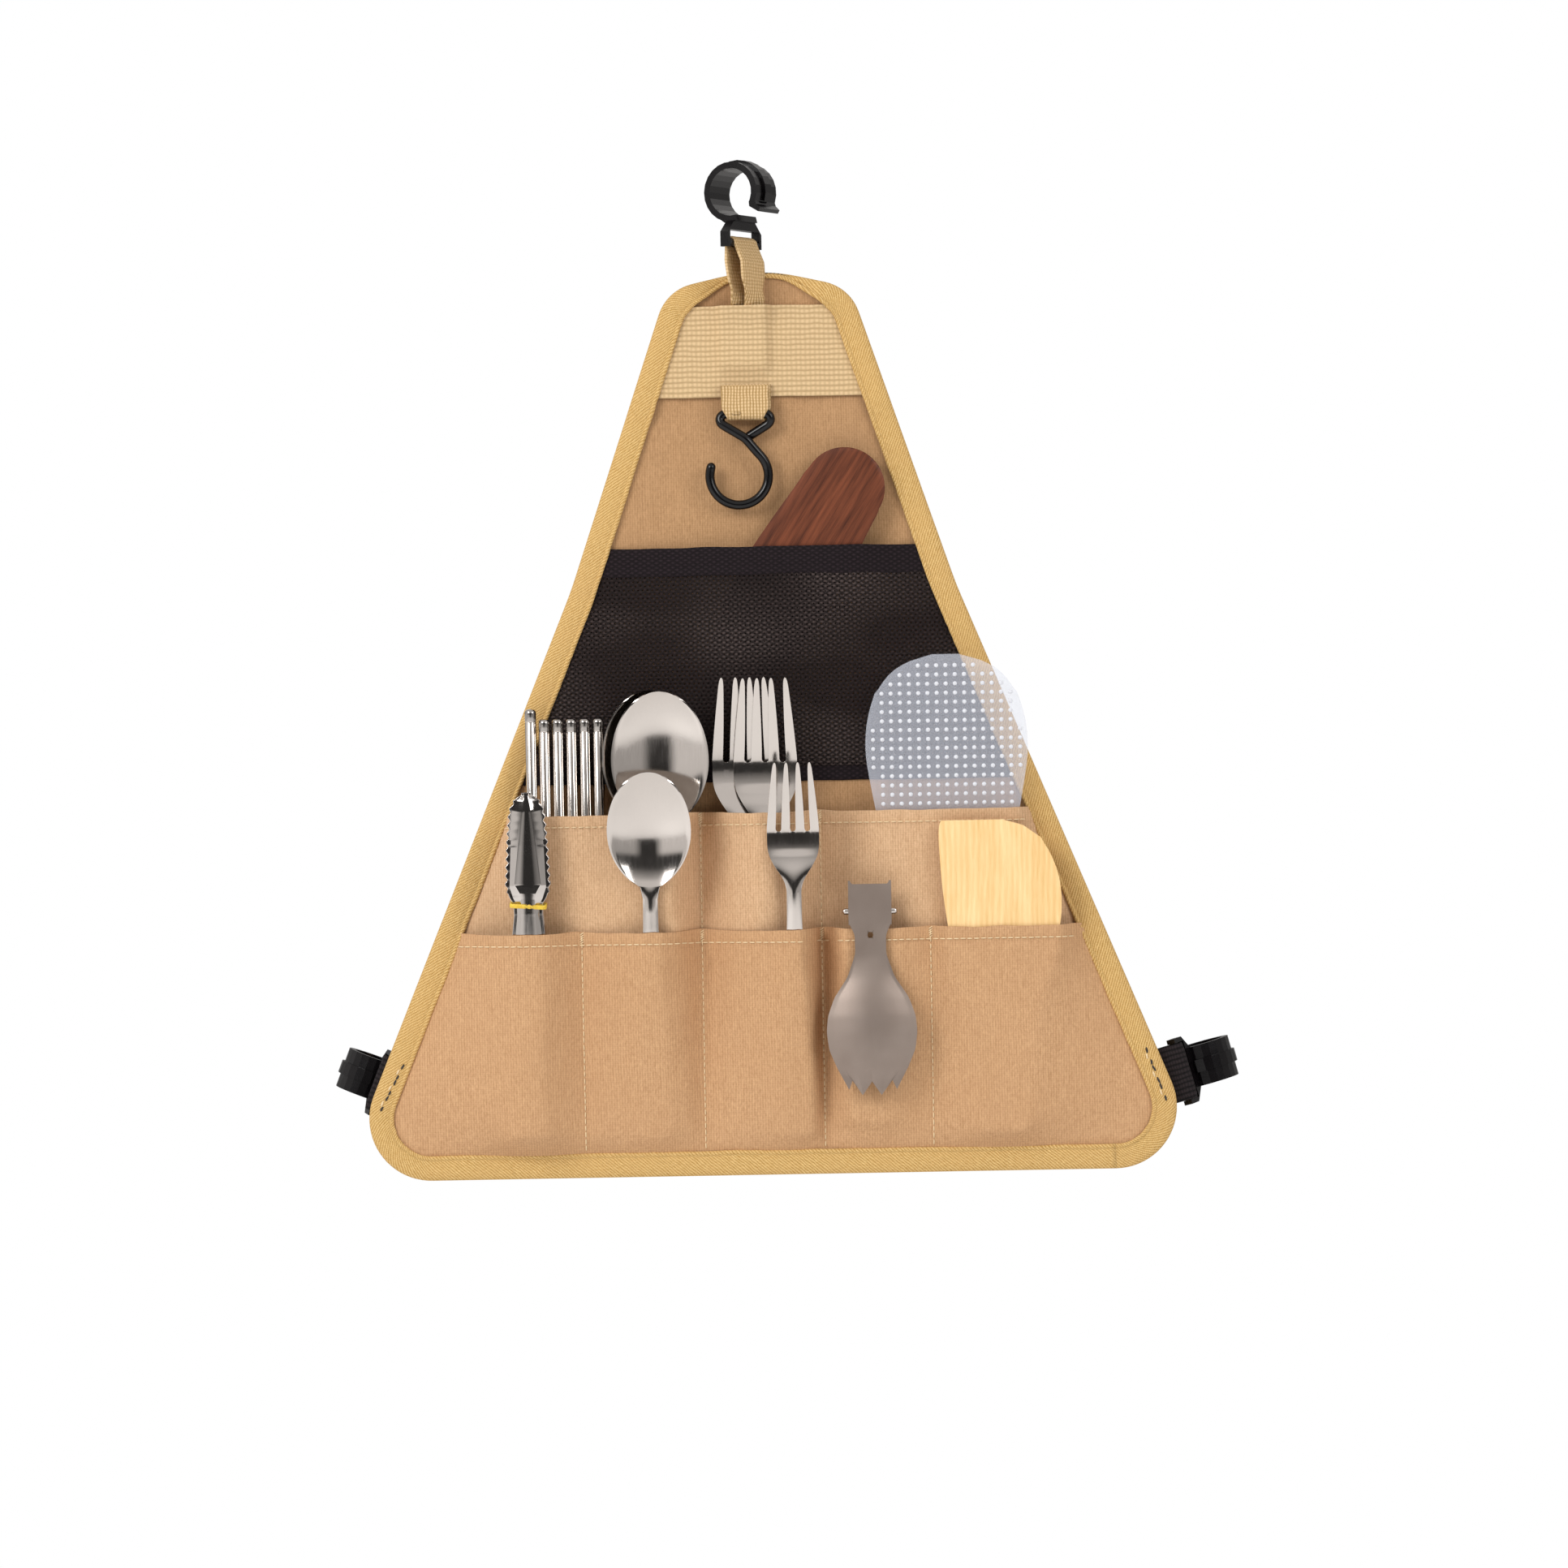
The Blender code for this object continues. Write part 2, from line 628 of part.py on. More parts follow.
def build_hook():
    """Wire hook: a closed eye at the top, crossing itself, then an open loop below."""
    frame = joint_frame("s_hook_pivot", place(TAB_U, HOOK_BAR_V, tab_wire_depth()))
    cross_u = TAB_U - 0.2
    loop = (HOOK_LOOP_U, HOOK_LOOP_V)
    eye = fillet([(cross_u - 2.0, HOOK_CROSS_V - 1.6, 0),
                  (TAB_U + HOOK_HALF, HOOK_BAR_V, HOOK_CORNER_R),
                  (TAB_U - HOOK_HALF, HOOK_BAR_V, HOOK_CORNER_R),
                  (cross_u, HOOK_CROSS_V, 0)], closed=False, step=20)
    turn = [radians(a) for a in range(48, -200, -12)]
    bend = [Vector((loop[0] + HOOK_LOOP_R * cos(a), loop[1] + HOOK_LOOP_R * sin(a))) for a in turn]
    flat = eye + bend
    step_out = HOOK_WIRE_R + GAP / 2
    points = []
    for i, spot in enumerate(flat):
        near = smooth(1 - abs(spot.y - HOOK_CROSS_V) / (HOOK_BAR_V - HOOK_CROSS_V - 1))
        first = i < len(eye) / 2
        out = (-step_out if first else step_out) * near
        if not first and spot.y < HOOK_CROSS_V:
            out = step_out * smooth((spot.y - HOOK_LOOP_V) / (HOOK_CROSS_V - HOOK_LOOP_V))
        points.append(Vector((spot.x - TAB_U, -out, spot.y - HOOK_BAR_V)))
    wire("s_hook", points, HOOK_WIRE_R, COATED_WIRE, frame)


# C clips
def arc(radius, start, end, steps):
    angles = spaced(radians(start), radians(end), [k / steps for k in range(steps + 1)])
    return [Vector((radius * cos(a), 0, radius * sin(a))) for a in angles]


def polar(radius, angle):
    return Vector((radius * cos(radians(angle)), 0, radius * sin(radians(angle))))


def joined(base, tools):
    """Mesh of several overlapping bodies united into one; the bodies themselves go."""
    for tool in tools:
        union = base.modifiers.new("join_" + tool.name, "BOOLEAN")
        union.operation = "UNION"
        union.object = tool
    graph = bpy.context.evaluated_depsgraph_get()
    mesh = bpy.data.meshes.new_from_object(base.evaluated_get(graph))
    for part in [base, *tools]:
        bpy.data.objects.remove(part)
    return mesh


def clip_mesh():
    """C clip round the Y axis, with a lip at its mouth and a webbing bar under it."""
    outer = CLIP_BORE_R + CLIP_WALL
    shut = CLIP_GAP_FROM + 360
    tip = outer + CLIP_LIP - 1.5
    lip = [polar(CLIP_BORE_R, CLIP_GAP_TO - 1), polar(CLIP_BORE_R + 1.2, CLIP_GAP_TO - 9),
           polar(tip, CLIP_GAP_TO - 7), polar(tip, CLIP_GAP_TO - 1),
           polar(outer + 1.0, CLIP_GAP_TO + 2)]
    outline = arc(outer, CLIP_GAP_TO + 7, shut, 20)
    outline += arc(CLIP_BORE_R, shut, CLIP_GAP_TO + 5, 20) + lip
    half = Vector((0, CLIP_W / 2, 0))
    ring = prism("clip_ring", outline, -half, half, BLACK_PLASTIC)
    band = arc(outer + CLIP_RIB_H, CLIP_GAP_TO + 9, shut - 28, 18)
    band += arc(outer - CLIP_WALL / 3, shut - 28, CLIP_GAP_TO + 9, 18)
    rib_half = half * CLIP_RIB_W / CLIP_W
    rib = prism("clip_rib", band, -rib_half, rib_half, BLACK_PLASTIC)
    top, foot = -outer + CLIP_WALL / 3, -CLIP_BAR_DROP - CLIP_BAR_R
    slot = -CLIP_BAR_DROP + CLIP_BAR_R + CLIP_SLOT_ROOM
    edge, inside = CLIP_FRAME_W / 2, CLIP_SLOT_W / 2
    corners = [(-inside, foot), (-inside, slot), (inside, slot), (inside, foot),
               (edge, foot), (edge, slot - 1.0), (CLIP_W / 2, top),
               (-CLIP_W / 2, top), (-edge, slot - 1.0), (-edge, foot)]
    across = Vector((CLIP_FRAME_T / 2, 0, 0))
    outline = [Vector((0, y, z)) for y, z in corners]
    frame = prism("clip_frame", outline, -across, across, BLACK_PLASTIC)
    reach = inside + 1.0
    circle = [Vector((CLIP_BAR_R * cos(a), -reach, CLIP_BAR_R * sin(a) - CLIP_BAR_DROP))
              for a in (2 * pi * k / 14 for k in range(14))]
    bar = prism("clip_bar", circle, Vector(), Vector((0, 2 * reach, 0)), BLACK_PLASTIC)
    return joined(ring, [rib, frame, bar])


def side_clip(name, mesh, bar_at, along_edge, outward, turn):
    """Clip hung on a side tab: its ring lies outward and behind the tab's bar."""
    up = outward * cos(turn) + Vector((0, 1, 0)) * sin(turn)
    right = -outward * sin(turn) + Vector((0, 1, 0)) * cos(turn)
    axes = Matrix((right, up.cross(right), up)).transposed()
    frame = joint_frame(name + "_pivot", bar_at, axes)
    clip = add_object(name, mesh, BLACK_PLASTIC, frame)
    clip.location = (0, 0, CLIP_BAR_DROP * MM)
    return clip


def build_side(side, name, mesh, tab_v, lean, bar_out, turn):
    """One side tab with its clip; side is +1 on the right, lean is the tab's tilt."""
    outward = Vector((side * cos(radians(lean)), 0, sin(radians(lean))))
    edge_way = Vector((-side * sin(radians(lean)), 0, cos(radians(lean))))
    first = PANEL_T + 2 * GAP + TAPE_T + SIDE_TAB_T / 2
    loop_r = CLIP_BAR_R + GAP + SIDE_TAB_T / 2
    edge = place(side * half_width(tab_v), tab_v)
    back = Vector((0, 1, 0))
    bar = edge + outward * bar_out + back * (first + loop_r)
    root = edge - outward * SIDE_TAB_ROOT
    half = edge_way * SIDE_TAB_W / 2
    ply = back * SIDE_TAB_T / 2
    second = first + SIDE_TAB_T + GAP
    path = [(root + back * first, half, -ply), (bar - back * loop_r, half, -ply)]
    for k in range(1, 6):
        angle = pi * k / 6
        radial = outward * sin(angle) - back * cos(angle)
        path.append((bar + radial * loop_r, half, radial * SIDE_TAB_T / 2))
    belly = root.lerp(bar - back * (first + loop_r), 0.25) + back * (second + SIDE_TAB_BELLY)
    path += [(bar + back * loop_r, half, ply), (belly, half, ply), (root + back * second, half, ply)]
    ribbon("side_tab_" + name, path, BLACK_WEBBING)
    side_clip(name + "_clip", mesh, bar, edge_way, outward, radians(turn))


def build_clips():
    mesh = clip_mesh()
    top = add_object("top_clip", mesh, BLACK_PLASTIC)
    top.rotation_euler.z = radians(-TOP_CLIP_YAW)
    build_side(-1, "left", mesh, LEFT_TAB_V, LEFT_TAB_LEAN, LEFT_BAR_OUT, LEFT_CLIP_TURN)
    build_side(1, "right", mesh.copy(), RIGHT_TAB_V, RIGHT_TAB_LEAN, RIGHT_BAR_OUT,
               RIGHT_CLIP_TURN)


# How utensils stand: depth of the front face at the floor, and how fast it comes forward
def slope(floor, depth, rise):
    return (depth - floor) / rise


MOUTH_RISE = UPPER_MOUTH_V - POCKET_FLOOR_V
LOWER_RISE = LOWER_MOUTH_V - POCKET_FLOOR_V
REAR_SLOPE = 0.076
BOWL_RISE = 165.0
TONGS_LEAN_RISE = 120.0
REAR_FLOOR = GAP + SLACK + STEEL_T
PAIR_FLOOR = REAR_FLOOR + STEEL_T + 2 * GAP
SPOON_PAIR_SLOPE = REAR_SLOPE + (TABLE_SPOON_DISH + SLACK - GAP) / BOWL_RISE
FORK_PAIR_SLOPE = REAR_SLOPE + (TABLE_FORK_DIP + SLACK - GAP) / BOWL_RISE
STICK_FLOOR = GAP + SLACK + 2 * CHOPSTICK_R
STICK_SLOPE = 0.049
PADDLE_FLOOR = GAP + SLACK + PADDLE_T
PADDLE_SLOPE = 0.053


def room(floor, way, rise, slack=SLACK):
    """Depths that a pocket needs at its floor and at its mouth."""
    return Vector((floor + slack, floor + way * rise + slack))


STICK_ROOM = room(STICK_FLOOR, STICK_SLOPE, MOUTH_RISE, GAP)
SPOON_ROOM = room(PAIR_FLOOR, SPOON_PAIR_SLOPE, MOUTH_RISE)
FORK_ROOM = room(PAIR_FLOOR, FORK_PAIR_SLOPE, MOUTH_RISE)
PADDLE_ROOM = room(PADDLE_FLOOR + SLACK, PADDLE_SLOPE, MOUTH_RISE)
UPPER_ROOM = [(-71.0, STICK_ROOM), (-67.0, SPOON_ROOM), (SEAM_LEFT_U, SPOON_ROOM),
              (SEAM_LEFT_U + 1, FORK_ROOM), (SEAM_RIGHT_U - 1, FORK_ROOM), (SEAM_RIGHT_U, PADDLE_ROOM)]


def over(behind):
    """Depths in front of the upper pocket's cloth, at its floor and mouth."""
    return behind + Vector((1, 1)) * (GAP + SHEET_T + GAP)


def lower_line(behind, thickness, dish, rise=MOUTH_RISE):
    """Floor depth and slope of a utensil that leans on the upper pocket."""
    floor = over(behind)[0] + thickness
    return floor, slope(floor, over(behind)[1] + thickness + dish + GAP, rise)


DESSERT_SPOON_FLOOR, DESSERT_SPOON_SLOPE = lower_line(SPOON_ROOM, STEEL_T, DESSERT_SPOON_DISH)
DESSERT_FORK_FLOOR, DESSERT_FORK_SLOPE = lower_line(FORK_ROOM, STEEL_T, DESSERT_FORK_DIP)
TURNER_FLOOR, TURNER_SLOPE = lower_line(PADDLE_ROOM, TURNER_T, 0.0)
TONGS_FLOOR, TONGS_SLOPE = lower_line(STICK_ROOM, TONGS_DEPTH, TONGS_BAND_T + 2 * GAP,
                                      TONGS_LEAN_RISE)
WIRE_FLOOR, WIRE_SLOPE = lower_line(PADDLE_ROOM, 2 * SPORK_WIRE_R, SPORK_EAR_BACK)
TONGS_ROOM = room(TONGS_FLOOR, TONGS_SLOPE, LOWER_RISE)
DESSERT_SPOON_ROOM = room(DESSERT_SPOON_FLOOR, DESSERT_SPOON_SLOPE, LOWER_RISE)
DESSERT_FORK_ROOM = room(DESSERT_FORK_FLOOR, DESSERT_FORK_SLOPE, LOWER_RISE)
WIRE_ROOM = room(WIRE_FLOOR, WIRE_SLOPE, LOWER_RISE)
TURNER_ROOM = room(TURNER_FLOOR, TURNER_SLOPE, LOWER_RISE)
LOWER_ROOM = [(-140.0, TONGS_ROOM * 0.4), (-124.0, TONGS_ROOM), (LOWER_SEAM_LEFT_U, TONGS_ROOM),
              (LOWER_SEAM_LEFT_U + 1, DESSERT_SPOON_ROOM),
              (SEAM_LEFT_U, DESSERT_SPOON_ROOM), (SEAM_LEFT_U + 1, DESSERT_FORK_ROOM),
              (SEAM_RIGHT_U - 1, DESSERT_FORK_ROOM), (SEAM_RIGHT_U, WIRE_ROOM),
              (LOWER_SEAM_RIGHT_U - 1, WIRE_ROOM), (LOWER_SEAM_RIGHT_U, TURNER_ROOM)]

SPATULA_FLOOR = GAP + SLACK + SPATULA_T
SPATULA_LEAN = 0.027
NET_SAG = 3.0
NET_BULGE = 38.0


def spatula_u(v):
    return SPATULA_HEAD_U - (SPATULA_HEAD_V - v) * tan(radians(SPATULA_TILT))


def spatula_reach(v):
    """Distance along the spatula from its handle's end to a height."""
    return SPATULA_L - SPATULA_W / 2 - (SPATULA_HEAD_V - v) / cos(radians(SPATULA_TILT))


def stand(name, u, floor, way):
    """Empty at the foot of a utensil, turned so that its Z axis runs up the utensil."""
    lean = Matrix.Rotation(atan(way), 3, "X")
    return joint_frame(name + "_slide", place(u, POCKET_FLOOR_V, floor), lean)


# Utensils, each in its own frame: Z runs up it, its front face is at y = 0
ROUND_END = ((0.0, 0.55), (1.2, 0.8), (4.0, 0.96), (9.0, 1.0))


def handle_rows(neck_z, handle_w, neck_w):
    """(height, half width) rows of a handle that narrows to the neck."""
    rows = [(z, share * handle_w / 2) for z, share in ROUND_END]
    for share in (0.35, 0.65, 0.85):
        rows.append((neck_z * share, (handle_w + (neck_w - handle_w) * smooth(share)) / 2))
    return rows


def plate(name, rows, across, finish, frame, back_y, front_y=lambda z, x: 0.0, keep=None):
    """Solid from (height, half width) rows; x shares run across, faces follow two functions."""
    front = [[Vector((half * x, front_y(z, x), z)) for x in across] for z, half in rows]
    back = [[Vector((half * x, back_y(z, x), z)) for x in across] for z, half in rows]
    grid_solid(name, front, back, finish, frame, keep)


def spoon(name, frame, length, bowl_w, dish, handle_w, neck_w):
    """Spoon whose hollow faces forward: an egg-shaped bowl with its wide end up."""
    bowl_l = SPOON_BOWL_RATIO * bowl_w
    centre = length - 0.5 * bowl_l
    rows = handle_rows(length - bowl_l - 4.0, handle_w, neck_w)
    rows.append((length - bowl_l - 4.0, neck_w / 2))
    depth = {z: 0.0 for z, _ in rows}
    for angle in (-68, -56, -42, -26, -8, 12, 30, 46, 60, 72, 82):
        share = cos(radians(angle))
        z = centre + 0.5 * bowl_l * sin(radians(angle))
        width = share ** (1.0 if angle > 0 else 1.25)
        rows.append((z, max(neck_w / 2, width * bowl_w / 2)))
        depth[z] = dish * share ** (0.8 if angle > 0 else 1.4)
    across = (-1.0, -0.84, -0.5, 0.0, 0.5, 0.84, 1.0)

    def hollow(z, x):
        return depth[z] * (1 - x * x)

    plate(name, rows, across, STEEL, frame, lambda z, x: hollow(z, x) + STEEL_T, hollow)


def fork(name, frame, length, head_w, dip, handle_w, neck_w):
    """Four-tined fork: the head dips back and its tines come forward again to their tips."""
    tine_l = FORK_TINE_RATIO * head_w
    root = length - tine_l
    neck = root - FORK_ROOT_RATIO * head_w
    tine_w = FORK_TINE_SHARE * head_w
    pitch = (head_w - tine_w) / 3
    rows = handle_rows(neck, handle_w, neck_w)
    rows += [(neck + share * (root - neck), neck_w / 2 + (head_w - neck_w) / 2 * smooth(width))
             for share, width in ((0.0, 0.0), (0.2, 0.22), (0.42, 0.55), (0.65, 0.85), (0.85, 1.0))]
    body = len(rows)
    rows += [(root + share * tine_l, head_w / 2) for share in (0.0, 0.2, 0.45, 0.7, 0.9, 1.0)]
    centres = [pitch * (k - 1.5) for k in range(4)]

    def dipped(z):
        return dip * sin(pi * min(1.0, max(0.0, (z - neck) / (length - neck)))) ** 1.2

    def row_points(z, half, shift):
        up = max(0.0, (z - root) / tine_l)
        narrow = 1 - 0.2 * up
        wide = tine_w / 2 * (1 - 0.62 * up ** 1.6) * (0.55 if up > 0.99 else 1.0)
        line = []
        for centre in centres:
            for edge in (-1, 1):
                x = (centre * narrow + edge * wide) * half * 2 / head_w
                line.append(Vector((x, dipped(z) + shift, z)))
        return line

    front = [row_points(z, half, 0.0) for z, half in rows]
    back = [row_points(z, half, STEEL_T) for z, half in rows]
    grid_solid(name, front, back, STEEL, frame, lambda i, j: i < body or j % 2 == 0)


def build_chopsticks():
    for k in range(6):
        name = f"chopstick_{k + 1}"
        length = CHOPSTICK_L - (CHOPSTICK_STAGGER if k else 0.0)
        u = CHOPSTICK_FIRST_U + k * CHOPSTICK_PITCH
        frame = stand(name, u, GAP + SLACK + CHOPSTICK_R, STICK_SLOPE)
        profile = [(0.0, 0.45), (0.5, 0.72), (length - 1.6, 1.0), (length - 0.5, 0.8), (length, 0.4)]
        rings = [[Vector((CHOPSTICK_R * r * cos(a), CHOPSTICK_R * r * sin(a), z))
                  for a in (2 * pi * n / 12 for n in range(12))] for z, r in profile]
        loft(name, rings, STEEL, frame)


def build_cutlery():
    rear = (REAR_FLOOR, REAR_SLOPE)
    for name, u, line in (("table_spoon_rear", REAR_SPOON_U, rear),
                          ("table_spoon_front", FRONT_SPOON_U, (PAIR_FLOOR, SPOON_PAIR_SLOPE))):
        spoon(name, stand(name, u, *line), TABLE_SPOON_L, TABLE_SPOON_W, TABLE_SPOON_DISH,
              TABLE_HANDLE_W, TABLE_NECK_W)
    for name, u, line in (("table_fork_rear", REAR_FORK_U, rear),
                          ("table_fork_front", FRONT_FORK_U, (PAIR_FLOOR, FORK_PAIR_SLOPE))):
        fork(name, stand(name, u, *line), TABLE_FORK_L, TABLE_FORK_W, TABLE_FORK_DIP,
             TABLE_HANDLE_W, TABLE_NECK_W)
    frame = stand("dessert_spoon", DESSERT_SPOON_U, DESSERT_SPOON_FLOOR, DESSERT_SPOON_SLOPE)
    spoon("dessert_spoon", frame, DESSERT_SPOON_L, DESSERT_SPOON_W, DESSERT_SPOON_DISH,
          DESSERT_HANDLE_W, DESSERT_NECK_W)
    frame = stand("dessert_fork", DESSERT_FORK_U, DESSERT_FORK_FLOOR, DESSERT_FORK_SLOPE)
    fork("dessert_fork", frame, DESSERT_FORK_L, DESSERT_FORK_W, DESSERT_FORK_DIP,
         DESSERT_HANDLE_W, DESSERT_NECK_W)


def build_paddle():
    """Rice paddle: straight handle, widest near the top of the blade."""
    frame = stand("rice_paddle", PADDLE_U, PADDLE_FLOOR, PADDLE_SLOPE)
    grip = PADDLE_HANDLE_W / 2
    rows = [(z, share * grip) for z, share in ROUND_END]
    shapes = ((0.28, grip), (0.4, 1.16 * grip), (0.47, 1.6 * grip), (0.58, 0.38 * PADDLE_W),
              (0.7, 0.45 * PADDLE_W), (0.8, 0.5 * PADDLE_W), (0.885, 0.475 * PADDLE_W),
              (0.947, 0.385 * PADDLE_W), (0.982, 0.26 * PADDLE_W), (1.0, 0.08 * PADDLE_W))
    rows += [(share * PADDLE_L, half) for share, half in shapes]
    across = (-1.0, -0.85, -0.5, 0.0, 0.5, 0.85, 1.0)
    plate("rice_paddle", rows, across, FROSTED, frame, lambda z, x: PADDLE_T,
          lambda z, x: PADDLE_EDGE * abs(x) ** 6)


def build_turner():
    """Bamboo turner: straight left side, square left corner and a long curve on the right."""
    frame = stand("bamboo_turner", TURNER_U, TURNER_FLOOR, TURNER_SLOPE)
    edges = ((0.0, -0.09, 0.11), (0.011, -0.15, 0.17), (0.044, -0.175, 0.2), (0.29, -0.22, 0.25),
             (0.45, -0.3, 0.335), (0.58, -0.39, 0.455), (0.69, -0.435, 0.51), (0.785, -0.465, 0.51),
             (0.87, -0.48, 0.455), (0.94, -0.49, 0.35), (0.982, -0.487, 0.2), (1.0, -0.463, 0.037))
    front, back = [], []
    for share, left, right in edges:
        thin = TURNER_T * (1 - 0.55 * smooth((share - 0.55) / 0.45))
        line = [Vector(((left + (right - left) * s) * TURNER_W, 0.0, share * TURNER_L))
                for s in (0.0, 0.12, 0.4, 0.7, 0.9, 1.0)]
        front.append(line)
        back.append([point + Vector((0, thin, 0)) for point in line])
    grid_solid("bamboo_turner", front, back, BAMBOO, frame)


def build_spatula():
    """Walnut spatula standing aslant in the net: a round end on a tapering handle."""
    tilt = radians(SPATULA_TILT)
    half = SPATULA_W / 2
    reach = SPATULA_L - half
    foot = place(SPATULA_HEAD_U - reach * sin(tilt), SPATULA_HEAD_V - reach * cos(tilt),
                 SPATULA_FLOOR)
    turn = Matrix.Rotation(tilt, 3, "Y") @ Matrix.Rotation(atan(SPATULA_LEAN), 3, "X")
    frame = joint_frame("walnut_spatula_slide", foot, turn)
    grip = SPATULA_HANDLE_W / 2
    rows = [(z, share * 0.87 * grip) for z, share in ROUND_END]
    rows += [(reach * 0.45, grip), (reach * 0.7, 0.64 * half), (reach * 0.88, 0.92 * half)]
    rows += [(reach + half * sin(a), half * cos(a)) for a in map(radians, (0, 22, 42, 60, 74, 83))]
    across = (-1.0, -0.8, -0.4, 0.0, 0.4, 0.8, 1.0)
    plate("walnut_spatula", rows, across, WALNUT, frame, lambda z, x: SPATULA_T,
          lambda z, x: SPATULA_EDGE * abs(x) ** 4)


def tongs_stations():
    """(height, half width, distance from the middle) of an arm, from the bend to its tip."""
    closed = TONGS_DEPTH / 2 - GAP
    spread = [(0.0, TONGS_BEND_R), (0.3 * TONGS_L, closed), (TONGS_BAND_AT, closed),
              (TONGS_L - 8, closed - 0.9), (TONGS_L, closed - 2.7)]
    head = TONGS_L - TONGS_HEAD_L
    count = int((TONGS_HEAD_L - 5.5) / TONGS_SCALLOP_PITCH) + 1
    scallops = [head + 4.0 + TONGS_SCALLOP_PITCH * k for k in range(count)]
    heights = [TONGS_BEND_R + 0.6, 0.2 * TONGS_L, 0.45 * TONGS_L, head]
    heights += scallops + [TONGS_L - 1.5, TONGS_L]
    stations = []
    for z in heights:
        half = TONGS_W / 2 + (TONGS_HEAD_W - TONGS_W) / 2 * smooth((z - head) / 6)
        if z in scallops[1::2]:
            half -= TONGS_SCALLOP
        half -= 3.4 * max(0.0, (z - TONGS_L + 5) / 5) ** 2
        stations.append((z, half, along(spread, z)))
    return stations


def build_tongs():
    """One sprung strip: up the back arm, and round the bend to the front arm."""
    frame = stand("tongs", TONGS_U, TONGS_FLOOR, TONGS_SLOPE)
    middle = TONGS_DEPTH / 2
    stations = tongs_stations()
    ridge = ((-1.0, 0.0), (-0.6, 0.55), (0.0, 1.0), (0.6, 0.55), (1.0, 0.0))

    def line(station, side, lift):
        """One row across an arm: side is +1 on the rear arm, lift moves it along its normal."""
        z, half, out = station
        return [Vector((half * x, middle + side * (out - TONGS_CROWN * (1 - rise) + lift), z))
                for x, rise in ridge]

    def bend_line(angle, radius):
        y, z = middle + radius * cos(angle), TONGS_BEND_R - radius * sin(angle)
        return [Vector((TONGS_W / 2 * x, y, z)) for x, _ in ridge]

    def skin(lift):
        rows = [line(station, 1, lift) for station in reversed(stations)]
        rows += [bend_line(pi * k / 6, TONGS_BEND_R + lift) for k in range(1, 6)]
        return rows + [line(station, -1, lift) for station in stations]

    grid_solid("tongs", skin(0.0), skin(-TONGS_T), STEEL, frame)

    def band_ring(z, grow):
        wide, deep = TONGS_W / 2 + GAP + grow, TONGS_DEPTH / 2 + GAP + grow
        corners = [(-wide, -deep), (wide, -deep), (wide, deep), (-wide, deep)]
        flat = fillet([(x, y, 1.0 + grow) for x, y in corners], step=30)
        return [Vector((p.x, middle + p.y, z)) for p in flat]

    low, high = TONGS_BAND_AT - TONGS_BAND_W / 2, TONGS_BAND_AT + TONGS_BAND_W / 2
    rings = [band_ring(low, 0.0), band_ring(high, 0.0), band_ring(high, TONGS_BAND_T),
             band_ring(low, TONGS_BAND_T)]
    loft("tongs_band", rings, YELLOW_RUBBER, frame, closed=True)


def build_spork():
    """Folding spork: the wire handle stands in the pocket, the head hangs over its mouth."""
    slide = stand("spork_handle", SPORK_U, WIRE_FLOOR - SPORK_WIRE_R, WIRE_SLOPE)
    pin_z = (SPORK_PIN_V - POCKET_FLOOR_V) / cos(atan(WIRE_SLOPE))
    leg = SPORK_EAR_W / 2 + GAP + SPORK_WIRE_R
    foot = pin_z - SPORK_WIRE_L
    inside = leg - SPORK_WIRE_R - GAP - SPORK_PIN_L
    bend = 0.67 * leg
    corners = [(inside, pin_z, 0), (leg, pin_z, 1.6), (bend, foot, 5.0),
               (-bend, foot, 5.0), (-leg, pin_z, 1.6), (-inside, pin_z, 0)]
    points = [Vector((p.x, 0, p.y)) for p in fillet(corners, closed=False, step=20)]
    wire("spork_handle", points, SPORK_WIRE_R, TITANIUM, slide)
    pins = joint_frame("spork_head_pivot", Vector())
    pins.parent = slide
    pins.location = (0, 0, pin_z * MM)
    pins.rotation_euler.x = -atan(WIRE_SLOPE)
    wire_depth = WIRE_FLOOR - SPORK_WIRE_R + WIRE_SLOPE * pin_z
    stand_off = WIRE_ROOM[1] + 2 * GAP + SHEET_T + GAP - wire_depth
    head = build_spork_head(pins, stand_off)
    finish_spork_neck(head, pins, stand_off)


def build_spork_head(pins, stand_off):
    """Bowl and neck, with the bowl's back to the front; the teeth point down."""
    ear, neck, bowl = SPORK_EAR_W / 2, SPORK_NECK_W / 2, SPORK_W / 2
    rows = [(-SPORK_TOP, ear, 0), (0.0, ear, 0), (0.074, ear, 0), (0.123, neck, 0), (0.247, neck, 0),
            (0.358, 0.52 * bowl, 0.3), (0.469, 0.82 * bowl, 0.7), (0.568, 0.97 * bowl, 0.95),
            (0.654, bowl, 1.0), (0.753, 0.95 * bowl, 0.92), (0.852, 0.78 * bowl, 0.7)]
    across = (-1.0, -0.86, -0.46, -0.02, 0.38, 0.84, 1.0)
    teeth = ((-0.525, 0.03), (-0.45, 0.08), (-0.23, 0.0), (-0.02, 0.074), (0.19, 0.0),
             (0.43, 0.08), (0.525, 0.03))

    def surface(shift):
        grid = []
        for share, half, hollow in rows:
            z = SPORK_TOP if share < 0 else -share * SPORK_L
            grid.append([Vector((half * x, -stand_off - SPORK_DISH * hollow * (1 - x * x) - shift, z))
                         for x in across])
        grid.append([Vector((x * bowl, -stand_off - 0.3 * SPORK_DISH * (1 - (x / 0.6) ** 2) - shift,
                             (notch - 1) * SPORK_L)) for x, notch in teeth])
        return grid

    grid_solid("spork_head", surface(SPORK_T), surface(0.0), TITANIUM, pins)
    return bpy.data.objects["spork_head"]


